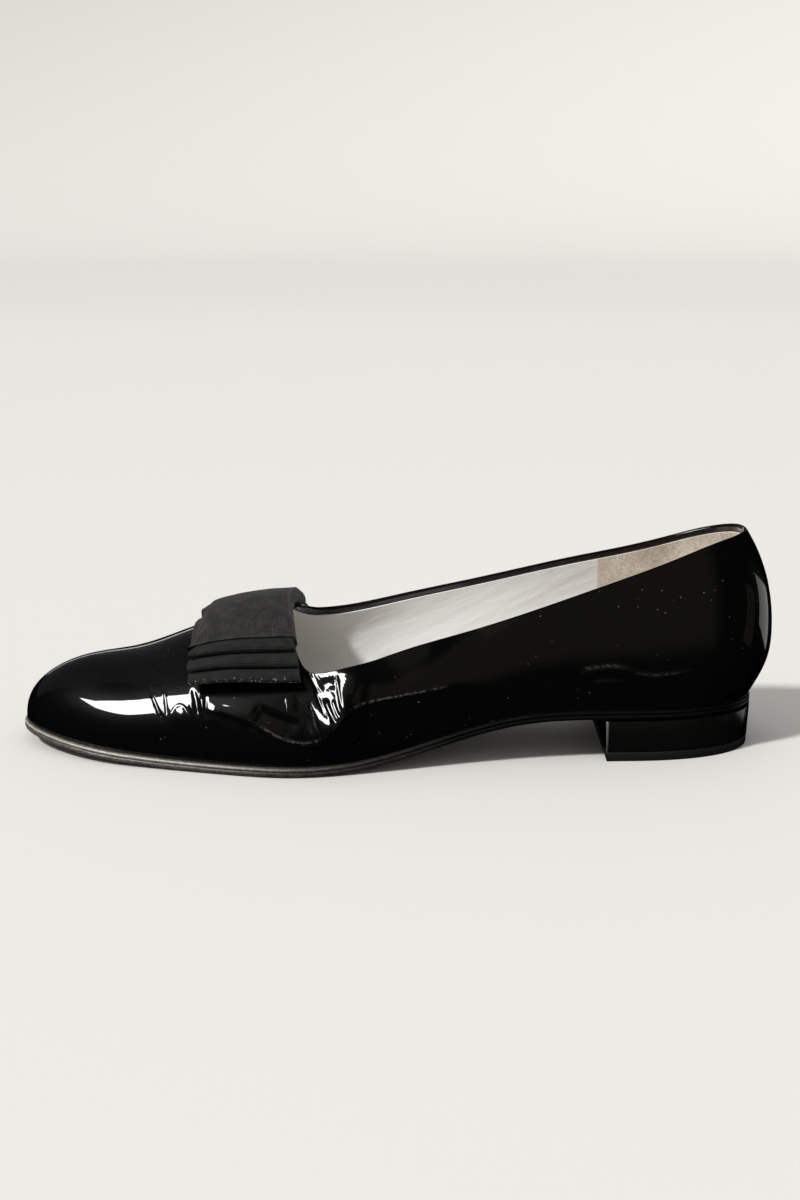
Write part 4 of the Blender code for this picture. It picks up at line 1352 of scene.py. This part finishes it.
def add_soft_box(name, azimuth, elevation, distance, size, power, colour, seen_by, roll, feather, taper, tip):
    """A soft box facing the shoe, seen by gloss or by matt surfaces.

    Feather is the share of the box's width and height over which its edges fade. Taper is the share of its
    width that narrows to a tip at the toe end, and tip is how far up the box that lies.
    """
    data = bpy.data.lights.new(name, "AREA")
    data.shape = "RECTANGLE"
    data.size, data.size_y = size
    data.energy = power
    data.color = linear(colour)[:3]
    if feather or taper:
        shape_glow(data, max(feather, LEAST_FADE), max(taper, LEAST_FADE), tip)
    box = add_object(name, data)
    turn, lift = np.radians(azimuth), np.radians(elevation)
    out = Vector((np.sin(turn) * np.cos(lift), -np.cos(turn) * np.cos(lift), np.sin(lift)))
    box.location = out * distance + Vector((0.0, 0.0, AIM_HEIGHT))
    box.rotation_mode = "QUATERNION"
    box.rotation_quaternion = (-out).to_track_quat("-Z", "Y") @ Quaternion((0.0, 0.0, 1.0), np.radians(roll))
    box.visible_camera = False
    box.visible_glossy = seen_by == "gloss"
    box.visible_diffuse = seen_by == "matt"


def build_light():
    """Boxes that the patent mirrors, a distant lamp and a fill for the matt surfaces, and a pale sky."""
    for row in SOFT_BOXES:
        add_soft_box(**dict(zip(SOFT_BOX_COLUMNS, row)))
    data = bpy.data.lights.new("key_lamp", "SUN")
    data.energy = LAMP_POWER
    data.angle = np.radians(LAMP_ANGLE)
    lamp = add_object("key_lamp", data)
    lamp.rotation_euler = np.radians(LAMP_TILT)
    lamp.visible_glossy = False
    world = bpy.data.worlds.new("pale_sky")
    world.use_nodes = True
    sky = world.node_tree.nodes["Background"]
    set_inputs(world.node_tree, sky, {"Color": linear("#ffffff"), "Strength": SKY_POWER})
    world.cycles_visibility.glossy = False
    bpy.context.scene.world = world


def build_camera():
    """The camera at the photograph's angle."""
    data = bpy.data.cameras.new("camera")
    data.lens = CAMERA_LENS
    camera = add_object("camera", data)
    camera.location = to_frame((CAMERA_FROM_TOE, -CAMERA_OUT, CAMERA_HEIGHT))
    camera.rotation_euler = (np.radians(90.0 - CAMERA_DOWN), 0.0, 0.0)
    bpy.context.scene.camera = camera


build_camera()
build_light()
build_floor()
build_upper(patent_leather())
build_lining(smooth_leather("lining_sheepskin", "#e6e5e4", "#dbdad8", "#bdb9b3", 0.45))
build_heel_grip(grip_suede())
build_sock(smooth_leather("sock_sheepskin", "#d9d4ca", "#cbc5b8", "#9a9082", 0.5))
build_outsole(sole_leather())
build_heel(heel_lacquer())
build_top_lift(lift_rubber())
build_bow(grosgrain())
bpy.context.scene.view_settings.view_transform = "Standard"
